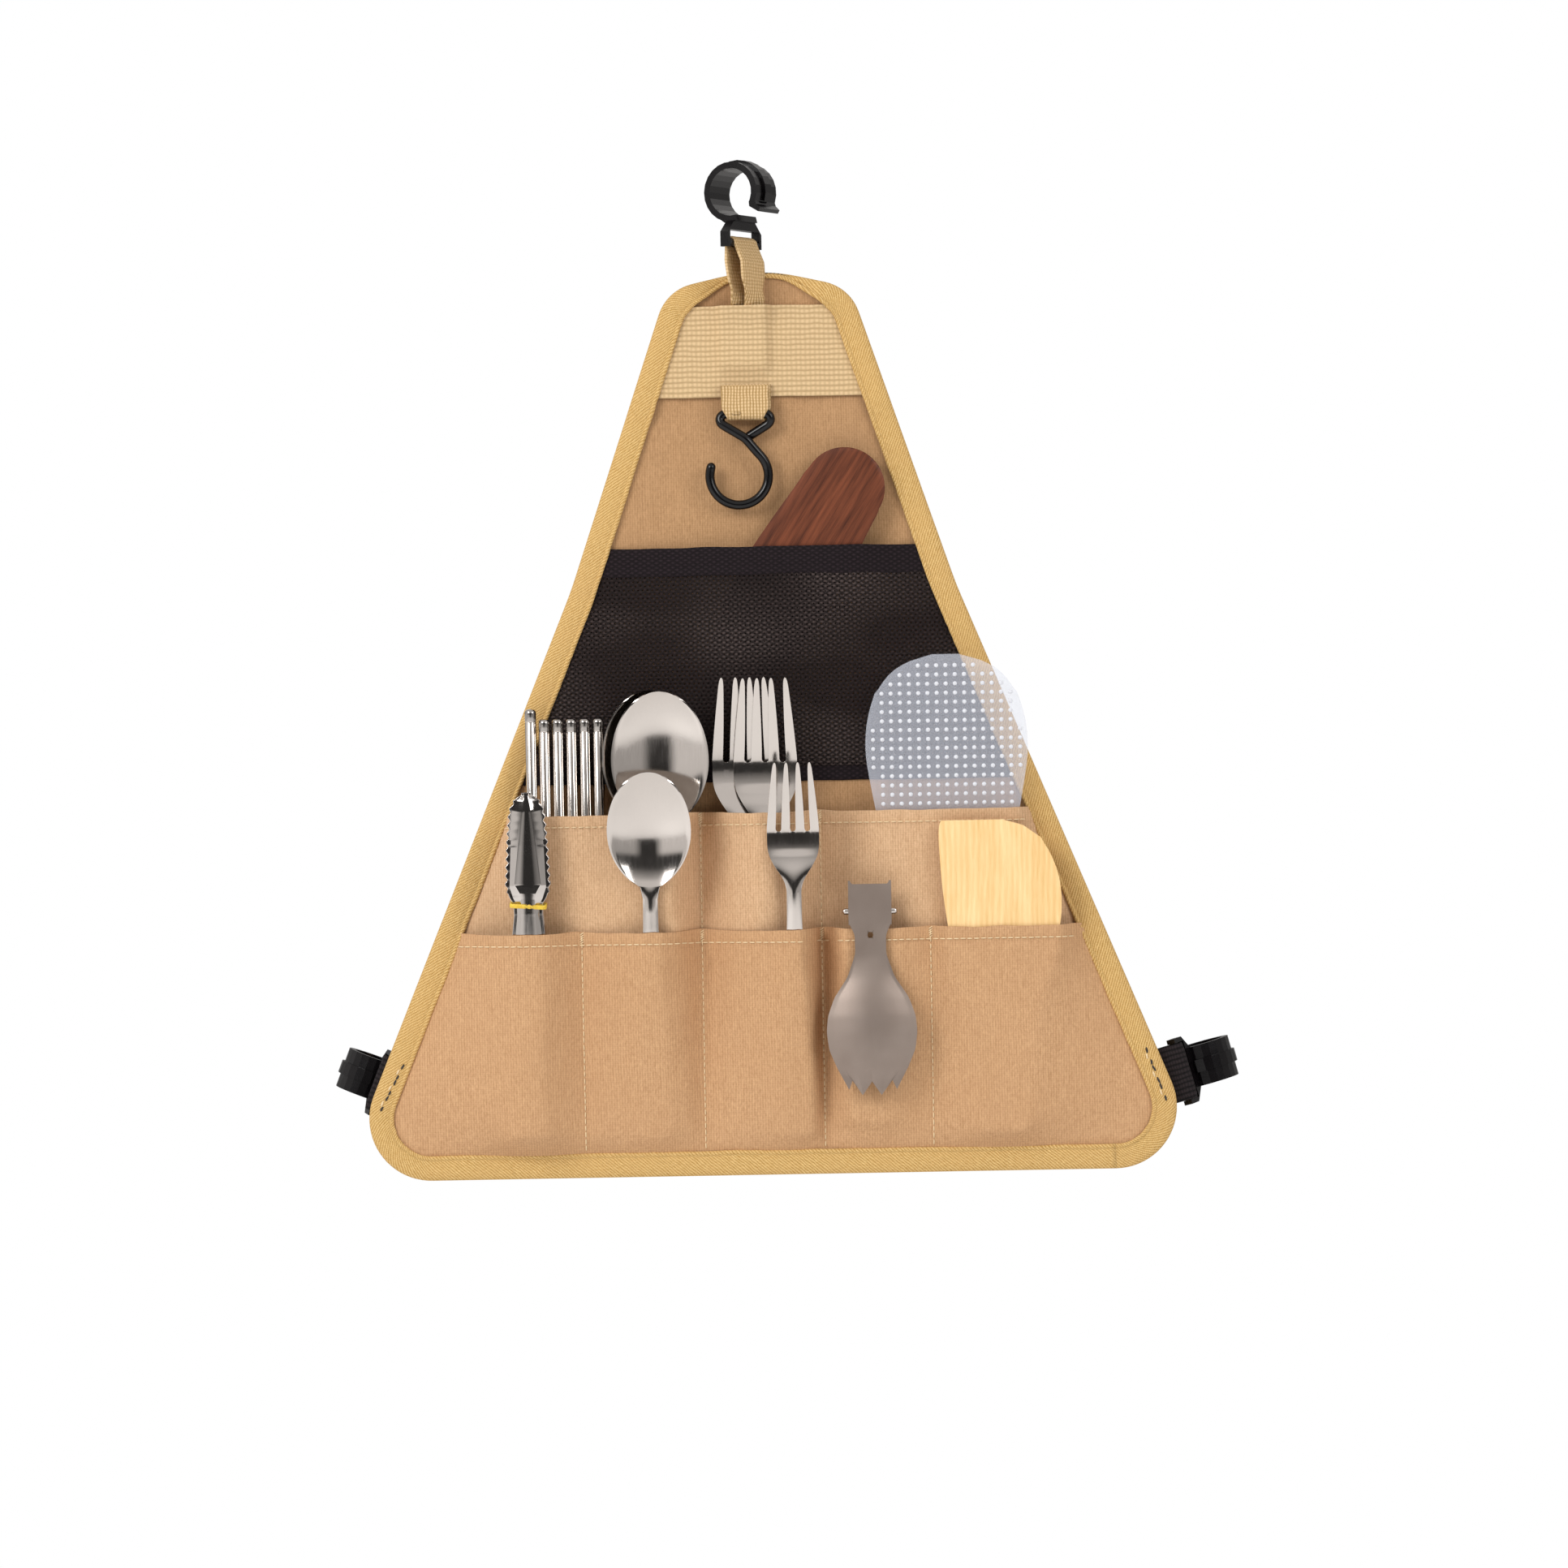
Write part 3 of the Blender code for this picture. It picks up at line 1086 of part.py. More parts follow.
def finish_spork_neck(head, pins, stand_off):
    """Folded sides of the neck drilled for the wire's ends, and the hole under them."""
    tools = []
    back = -stand_off - SPORK_T / 2
    fold = [(back, -5.5), (0.7 * SPORK_EAR_BACK, -0.8 * SPORK_EAR_BACK), (SPORK_EAR_BACK, 0.0),
            (0.7 * SPORK_EAR_BACK, 0.8 * SPORK_EAR_BACK), (back, SPORK_TOP - 0.5)]
    for side in (-1, 1):
        edge = side * SPORK_EAR_W / 2
        outline = [Vector((edge, y, z)) for y, z in fold]
        inward = Vector((-side * SPORK_T, 0, 0))
        tools.append((prism(f"spork_ear_{side}", outline, Vector(), inward, TITANIUM, pins), "UNION"))
    turns = [2 * pi * k / 12 for k in range(12)]
    hole_r = SPORK_WIRE_R + GAP
    circle = [Vector((-SPORK_EAR_W, hole_r * cos(a), hole_r * sin(a))) for a in turns]
    drill = prism("spork_drill", circle, Vector(), Vector((2 * SPORK_EAR_W, 0, 0)), TITANIUM, pins)
    small = [Vector((SPORK_HOLE_R * cos(a), -2 * stand_off, SPORK_HOLE_R * sin(a) - SPORK_HOLE_DROP))
             for a in turns]
    hole = prism("spork_hole", small, Vector(), Vector((0, 2 * stand_off, 0)), TITANIUM, pins)
    tools += [(drill, "DIFFERENCE"), (hole, "DIFFERENCE")]
    for tool, way in tools:
        cut = head.modifiers.new(tool.name, "BOOLEAN")
        cut.operation = way
        cut.object = tool
        tool.hide_render = True
        tool.display_type = "WIRE"


def hang_bag():
    """Hang everything but the top clip under an empty on the clip's bar."""
    yaw = Matrix.Rotation(radians(-TOP_CLIP_YAW), 3, "Z")
    swing = joint_frame("bag_swing_pivot", Vector((0, 0, -CLIP_BAR_DROP)), yaw)
    bpy.context.view_layer.update()
    for part in list(bpy.data.objects):
        if part.parent is None and part not in (swing, bpy.data.objects["top_clip"]):
            part.parent = swing
            part.matrix_parent_inverse = swing.matrix_world.inverted()


def build():
    for old in list(bpy.data.objects):
        bpy.data.objects.remove(old)
    bpy.context.scene.unit_settings.system = "METRIC"
    build_panel()
    build_binding()
    build_pockets()
    build_net()
    build_band()
    build_strap()
    build_hook_tab()
    build_hook()
    build_clips()
    build_chopsticks()
    build_cutlery()
    build_paddle()
    build_turner()
    build_spatula()
    build_tongs()
    build_spork()
    hang_bag()


build()
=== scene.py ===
"""Camping utensil bag: cloth, thread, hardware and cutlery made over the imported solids.

Lengths are in millimetres until a mesh is made. A place on the bag is (u, v, depth):
u right of the centreline, v up from the bottom edge, depth in front of the panel.
"""
import json
from math import atan, atan2, ceil, cos, exp, pi, radians, sin, sqrt, tan

import bmesh
import bpy
import numpy as np
from mathutils import Matrix, Vector, noise
from mathutils.bvhtree import BVHTree

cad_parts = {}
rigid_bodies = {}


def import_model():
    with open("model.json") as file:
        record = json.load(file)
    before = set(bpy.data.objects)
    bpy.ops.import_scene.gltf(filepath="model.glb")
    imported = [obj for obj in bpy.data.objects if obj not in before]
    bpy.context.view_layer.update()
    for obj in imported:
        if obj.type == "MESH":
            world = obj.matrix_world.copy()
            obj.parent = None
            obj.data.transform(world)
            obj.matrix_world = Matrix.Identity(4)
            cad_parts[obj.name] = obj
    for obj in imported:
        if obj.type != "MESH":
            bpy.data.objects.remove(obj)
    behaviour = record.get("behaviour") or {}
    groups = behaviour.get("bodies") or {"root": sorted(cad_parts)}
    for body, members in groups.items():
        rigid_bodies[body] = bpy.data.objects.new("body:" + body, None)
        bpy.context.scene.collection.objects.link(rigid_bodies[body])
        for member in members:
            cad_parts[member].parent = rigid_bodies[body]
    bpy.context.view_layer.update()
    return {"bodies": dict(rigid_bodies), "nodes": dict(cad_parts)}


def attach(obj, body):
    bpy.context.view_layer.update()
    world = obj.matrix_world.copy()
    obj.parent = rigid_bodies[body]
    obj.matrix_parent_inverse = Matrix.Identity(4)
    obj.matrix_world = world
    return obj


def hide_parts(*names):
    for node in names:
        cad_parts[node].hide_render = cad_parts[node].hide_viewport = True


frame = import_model()

MM = 0.001

# Where the hang point is on the bag, how far behind it the panel is, and how wide the tape shows
HANG_U = -7.2
HANG_V = 434.4
PANEL_SETBACK = 8.0
TAPE_W = 10.3

# Camera: a long lens straight on, rolled because the bag hangs a degree out of true
VIEW_W = 695.5
VIEW_U = 7.46
VIEW_V = 172.7
VIEW_ROLL = 1.04
CAMERA_AWAY = 3000.0
SENSOR_W = 36.0


def spot(u, v, depth=0.0):
    """World place, in metres, of a place on the bag."""
    return Vector((u - HANG_U, PANEL_SETBACK - depth, v - HANG_V)) * MM


def spot_mm(u, v, depth):
    """The same in millimetres, as an array."""
    return np.array(spot(u, v, depth)) / MM


def make_camera():
    """A camera whose picture is VIEW_W wide at the panel."""
    data = bpy.data.cameras.new("camera")
    data.sensor_width = SENSOR_W
    data.lens = SENSOR_W * CAMERA_AWAY / VIEW_W
    data.clip_end = 20.0
    camera = bpy.data.objects.new("camera", data)
    bpy.context.scene.collection.objects.link(camera)
    camera.location = spot(VIEW_U, VIEW_V, CAMERA_AWAY)
    camera.rotation_euler = (radians(90), 0, 0)
    camera.rotation_euler.rotate_axis("Z", radians(-VIEW_ROLL))
    bpy.context.scene.camera = camera


# Nodes and colours
def linear(code, share=1.0):
    """An sRGB hex colour as a linear one, dimmed to a share of it."""
    channels = [int(code[k:k + 2], 16) / 255 for k in (1, 3, 5)]
    return (*[share * (c / 12.92 if c <= 0.04045 else ((c + 0.055) / 1.055) ** 2.4) for c in channels], 1.0)


def add(tree, kind, inputs=None, **settings):
    """Add a node with its settings. Each input takes a value, a socket, or a node's first output."""
    made = tree.nodes.new(kind)
    for name, value in settings.items():
        setattr(made, name, value)
    for name, value in (inputs or {}).items():
        if isinstance(value, bpy.types.Node):
            value = value.outputs[0]
        if isinstance(value, bpy.types.NodeSocket):
            tree.links.new(value, made.inputs[name])
        else:
            made.inputs[name].default_value = value
    return made


class Finish:
    """A material on its way: its shader, and the patterns that its colour and relief are made of."""

    def __init__(self, name, roughness, axes="Object", turn=0.0, **sockets):
        """Sockets are the values that are the same all over; turn swings the axes about Y."""
        self.material = bpy.data.materials.new(name)
        self.material.use_nodes = True
        self.tree = self.material.node_tree
        self.shader = self.tree.nodes["Principled BSDF"]
        self.shader.inputs["Roughness"].default_value = roughness
        for socket, value in sockets.items():
            self.shader.inputs[socket.replace("_", " ")].default_value = value
        self.place = add(self.tree, "ShaderNodeTexCoord").outputs[axes]
        if turn:
            swung = {"Vector": self.place, "Rotation": (0.0, radians(turn), 0.0)}
            self.place = add(self.tree, "ShaderNodeMapping", swung).outputs[0]
        self.x, self.y, self.z = add(self.tree, "ShaderNodeSeparateXYZ", {0: self.place}).outputs

    def total(self, *parts):
        """Sum of (pattern, weight) pairs."""
        so_far = None
        for part, weight in parts:
            if weight != 1:
                part = add(self.tree, "ShaderNodeMath", {0: part, 1: weight}, operation="MULTIPLY")
            if so_far is not None:
                part = add(self.tree, "ShaderNodeMath", {0: so_far, 1: part}, operation="ADD")
            so_far = part
        return so_far

    def grain(self, size, stretch=(1, 1, 1), detail=2.0, roughness=0.5):
        """Noise whose spots are size mm across, drawn out along an axis by stretch."""
        scale = tuple(1 / (size * s * MM) for s in stretch)
        mapped = add(self.tree, "ShaderNodeMapping", {"Vector": self.place, "Scale": scale})
        values = {"Vector": mapped, "Scale": 1.0, "Detail": detail, "Roughness": roughness}
        return add(self.tree, "ShaderNodeTexNoise", values).outputs["Fac"]

    def ribs(self, coordinate, pitch):
        """0 to 1 and back every pitch mm along a coordinate."""
        turns = add(self.tree, "ShaderNodeMath", {0: coordinate, 1: 2 * pi / (pitch * MM)},
                    operation="MULTIPLY")
        wave = add(self.tree, "ShaderNodeMath", {0: turns}, operation="COSINE")
        return add(self.tree, "ShaderNodeMath", {0: wave, 1: -0.5, 2: 0.5}, operation="MULTIPLY_ADD")

    def colour(self, pattern, dark, light):
        """Colour from dark to light by a pattern; an end is a hex code or a colour mixed before."""
        dark, light = (linear(end) if isinstance(end, str) else end for end in (dark, light))
        mixed = add(self.tree, "ShaderNodeMix", {0: pattern, 6: dark, 7: light}, data_type="RGBA")
        self.tree.links.new(mixed.outputs[2], self.shader.inputs["Base Color"])
        return mixed.outputs[2]

    def polish(self, pattern, bright, dull, low=0.0, high=1.0):
        """Roughness from bright to dull as a pattern goes from low to high."""
        wear_and_sheen = add(self.tree, "ShaderNodeMapRange", {0: pattern, 1: low, 2: high, 3: bright, 4: dull})
        self.tree.links.new(wear_and_sheen.outputs[0], self.shader.inputs["Roughness"])

    def relief(self, height, distance, strength):
        """Bump of so many mm between height 0 and 1."""
        bump = add(self.tree, "ShaderNodeBump",
                   {"Height": height, "Distance": distance * MM, "Strength": strength})
        self.tree.links.new(bump.outputs[0], self.shader.inputs["Normal"])


def canvas_material(name, dark, light, cloud):
    """Cotton duck canvas: matt, with uneven upright yarns that show as fine ribs and specks.

    The yarns are 0.5 mm apart; they are drawn 1.15 mm apart so that they show.
    """
    made = Finish(name, 0.92, Specular_IOR_Level=0.2)
    wander = made.grain(14.0, (1, 1, 3))
    warp = made.ribs(made.total((made.x, 1), (wander, 1.6 * MM)), 1.15)
    weft = made.ribs(made.total((made.z, 1), (wander, 1.6 * MM)), 0.95)
    specks = made.grain(0.75, (1, 1, 1.8), 2.0, 0.6)
    slubs = made.grain(1.1, (1, 1, 6))
    height = made.total((warp, 0.16), (weft, 0.06), (specks, 0.62), (slubs, 0.3))
    yarn = add(made.tree, "ShaderNodeMapRange", {0: height, 1: 0.36, 2: 0.78})
    colour = made.colour(yarn, dark, light)
    faded = add(made.tree, "ShaderNodeMapRange", {0: made.grain(30.0), 1: 0.3, 2: 0.7, 3: 0.0, 4: 0.22})
    made.colour(faded, colour, cloud)
    made.relief(height, 0.14, 0.6)
    return made.material


def tape_material():
    """Woven twill tape, golden tan: slanting ribs and a little shine.

    The ribs are 0.7 mm apart; they are drawn 1.35 mm apart so that they show.
    """
    made = Finish("twill_binding_tape", 0.8, "UV", Specular_IOR_Level=0.2)
    slant = made.total((made.x, 0.8), (made.y, 1), (made.grain(5.0), 1.2 * MM))
    twill = made.ribs(slant, 1.35)
    yarn = made.ribs(made.total((made.y, 1), (made.x, -1.6)), 1.25)
    height = made.total((twill, 0.4), (yarn, 0.2), (made.grain(0.8, (3, 1, 1)), 0.5))
    ramp = add(made.tree, "ShaderNodeMapRange", {0: height, 1: 0.3, 2: 0.95})
    colour = made.colour(ramp, "#ae8544", "#efce90")
    faded = add(made.tree, "ShaderNodeMapRange", {0: made.grain(16.0), 1: 0.3, 2: 0.75, 3: 0.0, 4: 0.4})
    made.colour(faded, colour, "#cda468")
    made.relief(height, 0.4, 0.8)
    return made.material


def webbing_material(name, dark, light, row, column, depth):
    """Woven webbing: a grid of plump yarn ends, row mm by column mm, with dark gaps."""
    made = Finish(name, 0.88, "UV", Specular_IOR_Level=0.2)
    wander = made.grain(9.0)
    rows = made.ribs(made.total((made.y, 1), (wander, 1.2 * MM)), row)
    columns = made.ribs(made.total((made.x, 1), (wander, 1.2 * MM)), column)
    ends = add(made.tree, "ShaderNodeMath", {0: columns, 1: 0.7, 2: 0.3}, operation="MULTIPLY_ADD")
    crossed = add(made.tree, "ShaderNodeMath", {0: rows, 1: ends}, operation="MULTIPLY")
    plump = add(made.tree, "ShaderNodeMath", {0: crossed, 1: 0.5}, operation="POWER")
    height = made.total((plump, 1), (made.grain(0.7, (3, 1, 1)), 0.5))
    ramp = add(made.tree, "ShaderNodeMapRange", {0: height, 1: 0.35, 2: 1.2})
    made.colour(ramp, dark, light)
    made.relief(height, depth, 0.8)
    return made.material


def thread_material(name, code):
    """Spun polyester sewing thread: a faint sheen and an uneven tint."""
    made = Finish(name, 0.6, Sheen_Weight=0.2)
    made.colour(made.grain(4.0), linear(code, 0.8), code)
    return made.material


def net_material(name, code, roughness=0.75, shine=0.0):
    """Knitted polyester: near black with a brown cast; its strands are painted lighter where they catch
    light, and its soft folds carry a painted sheen.

    The strands lean both ways, 1.82 mm apart as the rows of the net are.
    """
    made = Finish(name, roughness, Specular_IOR_Level=0.15)
    knit = made.grain(0.8)
    leaning = [made.ribs(made.total((made.x, 0.5), (made.z, way * 0.866)), 1.82) for way in (1, -1)]
    strands = add(made.tree, "ShaderNodeMath", {0: leaning[0], 1: leaning[1]}, operation="MULTIPLY")
    ramp = add(made.tree, "ShaderNodeMapRange",
               {0: made.total((knit, 0.5), (strands, 0.6)), 1: 0.2, 2: 0.8})
    colour = made.colour(ramp, linear(code, 0.3), code)
    # Painted sheen: broad soft patches, mixed towards #7d6f6b, stand for the light that the net's folds
    # catch.
    fold_sheen = made.grain(44.0, (1.6, 1, 0.8), 1.0)
    wear_and_sheen = add(made.tree, "ShaderNodeMapRange", {0: fold_sheen, 1: 0.44, 2: 0.7, 3: 0.0, 4: shine})
    lit = add(made.tree, "ShaderNodeMath", {0: wear_and_sheen, 1: ramp}, operation="MULTIPLY")
    made.colour(lit, colour, "#7d6f6b")
    made.relief(made.total((knit, 1), (made.ribs(made.z, 1.1), 0.5)), 0.15, 0.6)
    return made.material


def plastic_material():
    """Moulded acetal: satin black with a faint orange peel."""
    made = Finish("moulded_acetal", 0.3, Specular_IOR_Level=0.26)
    wear_and_sheen = made.grain(12.0)
    made.colour(wear_and_sheen, "#050405", "#0e0b0d")
    made.polish(wear_and_sheen, 0.16, 0.28)
    made.relief(made.grain(1.4), 0.03, 0.5)
    return made.material


def coated_wire_material():
    """Steel wire dipped in black lacquer: glossy, a little uneven."""
    made = Finish("dipped_wire", 0.2, Specular_IOR_Level=0.25, Coat_Weight=0.15, Coat_Roughness=0.08)
    uneven = made.grain(2.5)
    made.colour(uneven, "#040405", "#0b0a0c")
    made.relief(uneven, 0.05, 0.4)
    return made.material


def steel_material(name, code, bright, dull, streak, depth=0.012):
    """Stainless steel: polished, with fine lines left along the piece by the buffing wheel.

    The lines are finer than 0.1 mm; they are drawn 0.5 mm wide so that they show.
    """
    made = Finish(name, bright, Metallic=1.0)
    lines = made.grain(0.5, (1, 1, streak), 3.0, 0.6)
    mixed = made.total((lines, 0.6), (made.grain(11.0), 0.4))
    made.polish(mixed, bright, dull, 0.3, 0.7)
    made.colour(mixed, linear(code, 0.86), code)
    made.relief(lines, depth, 0.35)
    return made.material


def titanium_material():
    """Blasted titanium: warm grey, matt, with a fine even grain.

    The grit leaves pits of 0.1 mm; they are drawn 0.5 mm wide so that they show.
    """
    made = Finish("blasted_titanium", 0.5, Metallic=0.85)
    grit = made.grain(0.5)
    made.colour(made.grain(16.0), "#877970", "#9e9188")
    made.polish(grit, 0.42, 0.56)
    made.relief(grit, 0.02, 0.5)
    return made.material


def frosted_material():
    """Moulded translucent polypropylene, textured so that it hazes what is behind it.

    The texture is 0.2 mm fine; it is drawn 0.8 mm wide so that it shows.
    """
    made = Finish("frosted_polypropylene", 0.3, Alpha=0.27)
    haze = made.grain(0.8)
    made.colour(haze, "#cfd4e2", "#e4e8f2")
    made.relief(haze, 0.03, 0.4)
    return made.material


def dimple_material():
    """The same plastic, thicker and whiter where it stands up in dots."""
    made = Finish("frosted_dots", 0.5)
    made.colour(made.grain(0.8), "#c9cbd2", "#e6e8ee")
    return made.material


def wood_material(name, dark, light, ring, streaky, roughness, knot=None, turn=0.0):
    """Oiled wood: long grain lines up the piece, ring mm apart, with fine pores between them.

    The pores are 0.2 mm wide; they are drawn 0.6 mm wide so that they show.
    """
    made = Finish(name, roughness, turn=turn, Specular_IOR_Level=0.25)
    bend = made.grain(26.0, (1, 1, 3))
    rings = made.ribs(made.total((made.x, 1), (bend, 3.2 * ring * MM)), ring)
    pores = made.grain(0.6, (1, 1, 22), 3.0, 0.6)
    broad = made.grain(6.0, (1, 1, 9))
    mixed = made.total((rings, streaky), (pores, 0.42), (broad, 0.68 - streaky))
    ramp = add(made.tree, "ShaderNodeMapRange", {0: mixed, 1: 0.3, 2: 0.78})
    colour = made.colour(ramp, dark, light)
    if knot:
        centre, size, code = knot
        away = add(made.tree, "ShaderNodeVectorMath", {0: made.place, 1: centre}, operation="DISTANCE")
        near = add(made.tree, "ShaderNodeMapRange",
                   {0: away.outputs["Value"], 1: 0.0, 2: size * MM, 3: 0.55, 4: 0.0})
        made.colour(near, colour, code)
    made.relief(mixed, 0.08, 0.5)
    return made.material


def rubber_material():
    """Natural rubber band: amber yellow, waxy."""
    made = Finish("amber_rubber", 0.45, Subsurface_Weight=0.2)
    made.colour(made.grain(1.5), "#d9a21c", "#f4cf4a")
    return made.material


make_camera()
# One canvas in three tones: the back panel is painted darker as shade, the upper pocket lighter as painted
# light, and the lower pocket lies between them.
PANEL_CANVAS_SHADED = canvas_material("panel_canvas_painted_shade", "#9f7a55", "#bf976e", "#aa8460")
UPPER_CANVAS_LIT = canvas_material("upper_canvas_painted_light", "#b8926d", "#dbb792", "#c8a27c")
LOWER_CANVAS = canvas_material("lower_duck_canvas", "#ae855f", "#d1a87f", "#bb916a")
TAPE = tape_material()
BAND_WEBBING = webbing_material("cotton_band_webbing", "#b59970", "#d9bc92", 2.3, 2.1, 0.24)
STRAP_WEBBING = webbing_material("cotton_strap_webbing", "#a2814f", "#e0c194", 1.4, 1.5, 0.25)
BLACK_WEBBING = webbing_material("nylon_side_webbing", "#0d0a0b", "#2b2426", 2.2, 1.2, 0.45)
SEAM_THREAD = thread_material("seam_thread", "#ecd2a6")
TACK_THREAD = thread_material("tack_thread", "#1a1617")
NET = net_material("knitted_net", "#291e1d", shine=0.32)
NET_BINDING = net_material("net_binding", "#2a2125", 0.85)
PLASTIC = plastic_material()
WIRE = coated_wire_material()
STEEL = steel_material("polished_steel", "#d0c9c3", 0.07, 0.16, 40)
TONG_STEEL = steel_material("tong_steel", "#cfc9c4", 0.06, 0.12, 40, 0.002)
# Darker steel for the chopsticks' caps: painted shade that stands for the darker reflection there.
DARK_STEEL = steel_material("shaded_steel", "#aaa5a1", 0.12, 0.22, 20)
TITANIUM = titanium_material()
FROSTED = frosted_material()
DIMPLES = dimple_material()
BAMBOO = wood_material("oiled_bamboo", "#e3b878", "#fbdca6", 2.4, 0.12, 0.5,
                       ((0.0, 0.0, 0.112), 9.0, "#c9924c"))
WALNUT = wood_material("oiled_walnut", "#30150c", "#81462d", 3.0, 0.09, 0.45, turn=-32.0)
RUBBER = rubber_material()


# Shapes
def ease(t):
    """From 0 to 1, slow at both ends."""
    return t * t * (3 - 2 * t)


def smooth(t):
    """The same for any t: 0 before 0 and 1 after 1."""
    return ease(min(1.0, max(0.0, t)))


def along(stops, x):
    """Value at x of a line through (x, value) stops."""
    return np.interp(x, [s[0] for s in stops], [s[1] for s in stops])


def distances(line):
    """How far along a line each of its points is."""
    return np.concatenate([[0.0], np.cumsum(np.linalg.norm(np.diff(line, axis=0), axis=1))])


def noise_at(x, y, seed=0.0):
    """Smooth noise from -1 to 1 with spots about 1 across."""
    return noise.noise(Vector((x, y, 7.3 + 11.1 * seed)))


def spots(u, v, depth):
    """World places, in metres, of arrays of places on the bag."""
    u, v, depth = np.broadcast_arrays(u, v, depth)
    return np.stack([u - HANG_U, PANEL_SETBACK - depth, v - HANG_V], axis=-1) * MM


def grid_faces(rows, columns, wrap=False):
    """Quads of a grid whose rows go up and whose columns go right; wrap joins the last column."""
    count = columns if wrap else columns - 1
    faces = []
    for i in range(rows - 1):
        for j in range(count):
            k = (j + 1) % columns
            faces.append((i * columns + j, i * columns + k, (i + 1) * columns + k, (i + 1) * columns + j))
    return faces


def piece(name, points, faces, material, body, slot, stands_for=(), uv=None, merge=0.0):
    """A smooth-shaded mesh object that rides on a body and may stand for CAD nodes."""
    points = np.asarray(points, dtype=float).reshape(-1, 3)
    mesh = bpy.data.meshes.new(name)
    mesh.from_pydata(points.tolist(), [], faces)
    materials = material if isinstance(material, (list, tuple)) else [material]
    for one in materials:
        mesh.materials.append(one)
    if uv is not None:
        flat = np.asarray(uv, dtype=float).reshape(-1, 2)
        layer = mesh.uv_layers.new(name="UVMap")
        loops = np.zeros(len(mesh.loops), dtype=np.int32)
        mesh.loops.foreach_get("vertex_index", loops)
        layer.data.foreach_set("uv", flat[loops].ravel())
    if merge:
        tidy = bmesh.new()
        tidy.from_mesh(mesh)
        bmesh.ops.remove_doubles(tidy, verts=tidy.verts, dist=merge * MM)
        tidy.to_mesh(mesh)
        tidy.free()
    mesh.shade_smooth()
    obj = bpy.data.objects.new(name, mesh)
    bpy.context.scene.collection.objects.link(obj)
    if stands_for:
        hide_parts(*stands_for)
    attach(obj, body)
    return obj


def thicken(obj, thickness):
    """Give a sheet its thickness, in mm, behind the modelled face."""
    solid = obj.modifiers.new("cloth", "SOLIDIFY")
    solid.thickness = thickness * MM
    solid.offset = -1.0


# Outline of the panel: a tapered sheet with rounded corners and a peaked top
FOOT = (192.0, 0.0, 27.0)
HIP = (85.0, 260.0, 150.0)
SHOULDER = (40.4, 392.2, 20.0)
APEX = (0.0, 401.5, 80.0)
PANEL_CORNERS = [FOOT, HIP, SHOULDER, APEX] + [(-u, v, r) for u, v, r in (SHOULDER, HIP, FOOT)]


def fillet(corners, closed=True, step=4.0):
    """Points of a polygon or path whose (x, y, radius) corners are rounded."""
    points = []
    for i, (x, y, radius) in enumerate(corners):
        here = Vector((x, y))
        if not closed and i in (0, len(corners) - 1):
            points.append(here)
            continue
        before = (Vector(corners[i - 1][:2]) - here).normalized()
        after = (Vector(corners[(i + 1) % len(corners)][:2]) - here).normalized()
        half = before.angle(after) / 2
        reach = radius / tan(half)
        centre = here + (before + after).normalized() * radius / sin(half)
        start = here + before * reach - centre
        end = here + after * reach - centre
        first = atan2(start.y, start.x)
        sweep = (atan2(end.y, end.x) - first + pi) % (2 * pi) - pi
        steps = max(2, ceil(abs(sweep) / radians(step)))
        for k in range(steps + 1):
            angle = first + sweep * k / steps
            points.append(centre + Vector((cos(angle), sin(angle))) * radius)
    return points


def resample(points, spacing):
    """Points spaced evenly round a closed line."""
    line = np.array([tuple(p) for p in points + points[:1]])
    reach = distances(line)
    count = max(2, int(round(reach[-1] / spacing)))
    wanted = np.linspace(0.0, reach[-1], count + 1)
    made = np.stack([np.interp(wanted, reach, line[:, k]) for k in range(line.shape[1])], axis=1)
    return made[:-1]


OUTLINE_STEP = 2.5
OUTLINE = resample(fillet(PANEL_CORNERS), OUTLINE_STEP)


def outward(line):
    """Outward normals of the counter-clockwise outline."""
    tangent = np.roll(line, -1, axis=0) - np.roll(line, 1, axis=0)
    normal = np.stack([tangent[:, 1], -tangent[:, 0]], axis=1)
    return normal / np.linalg.norm(normal, axis=1)[:, None]


OUTWARD = outward(OUTLINE)

# How far in front of the panel a look at it starts
LOOK_FROM = 120.0


def half_width(v, distance=0.0):
    """Half the panel's width at a height, less a margin all round."""
    ring = OUTLINE - OUTWARD * distance
    right = ring[ring[:, 0] > 0]
    order = np.argsort(right[:, 1], kind="stable")
    heights, widths = right[order, 1], right[order, 0]
    if v <= heights[0]:
        return float(widths[0])
    return float(np.interp(v, heights, widths))


def search_tree(objects):
    """One search tree over the meshes of some objects."""
    verts, faces = [], []
    for obj in objects:
        start = len(verts)
        verts += [v.co.copy() for v in obj.data.vertices]
        faces += [tuple(start + k for k in p.vertices) for p in obj.data.polygons]
    return BVHTree.FromPolygons(verts, faces)


def foremost(tree, u, v):
    """Where a look straight at the bag from in front first meets a search tree, or None."""
    return tree.ray_cast(spot(u, v, LOOK_FROM), Vector((0, 1, 0)))[0]


def blurred(values, passes, axis):
    """Averaged with its neighbours along an axis, so many times."""
    for _ in range(passes):
        ahead = np.roll(values, -1, axis)
        behind = np.roll(values, 1, axis)
        edge = [slice(None)] * values.ndim
        edge[axis] = -1
        ahead[tuple(edge)] = values[tuple(edge)]
        edge[axis] = 0
        behind[tuple(edge)] = values[tuple(edge)]
        values = 0.25 * ahead + 0.5 * values + 0.25 * behind
    return values


# Back panel: one sheet of canvas, flat where things are sewn to it, softly creased above them
PANEL_MARGIN = 1.2


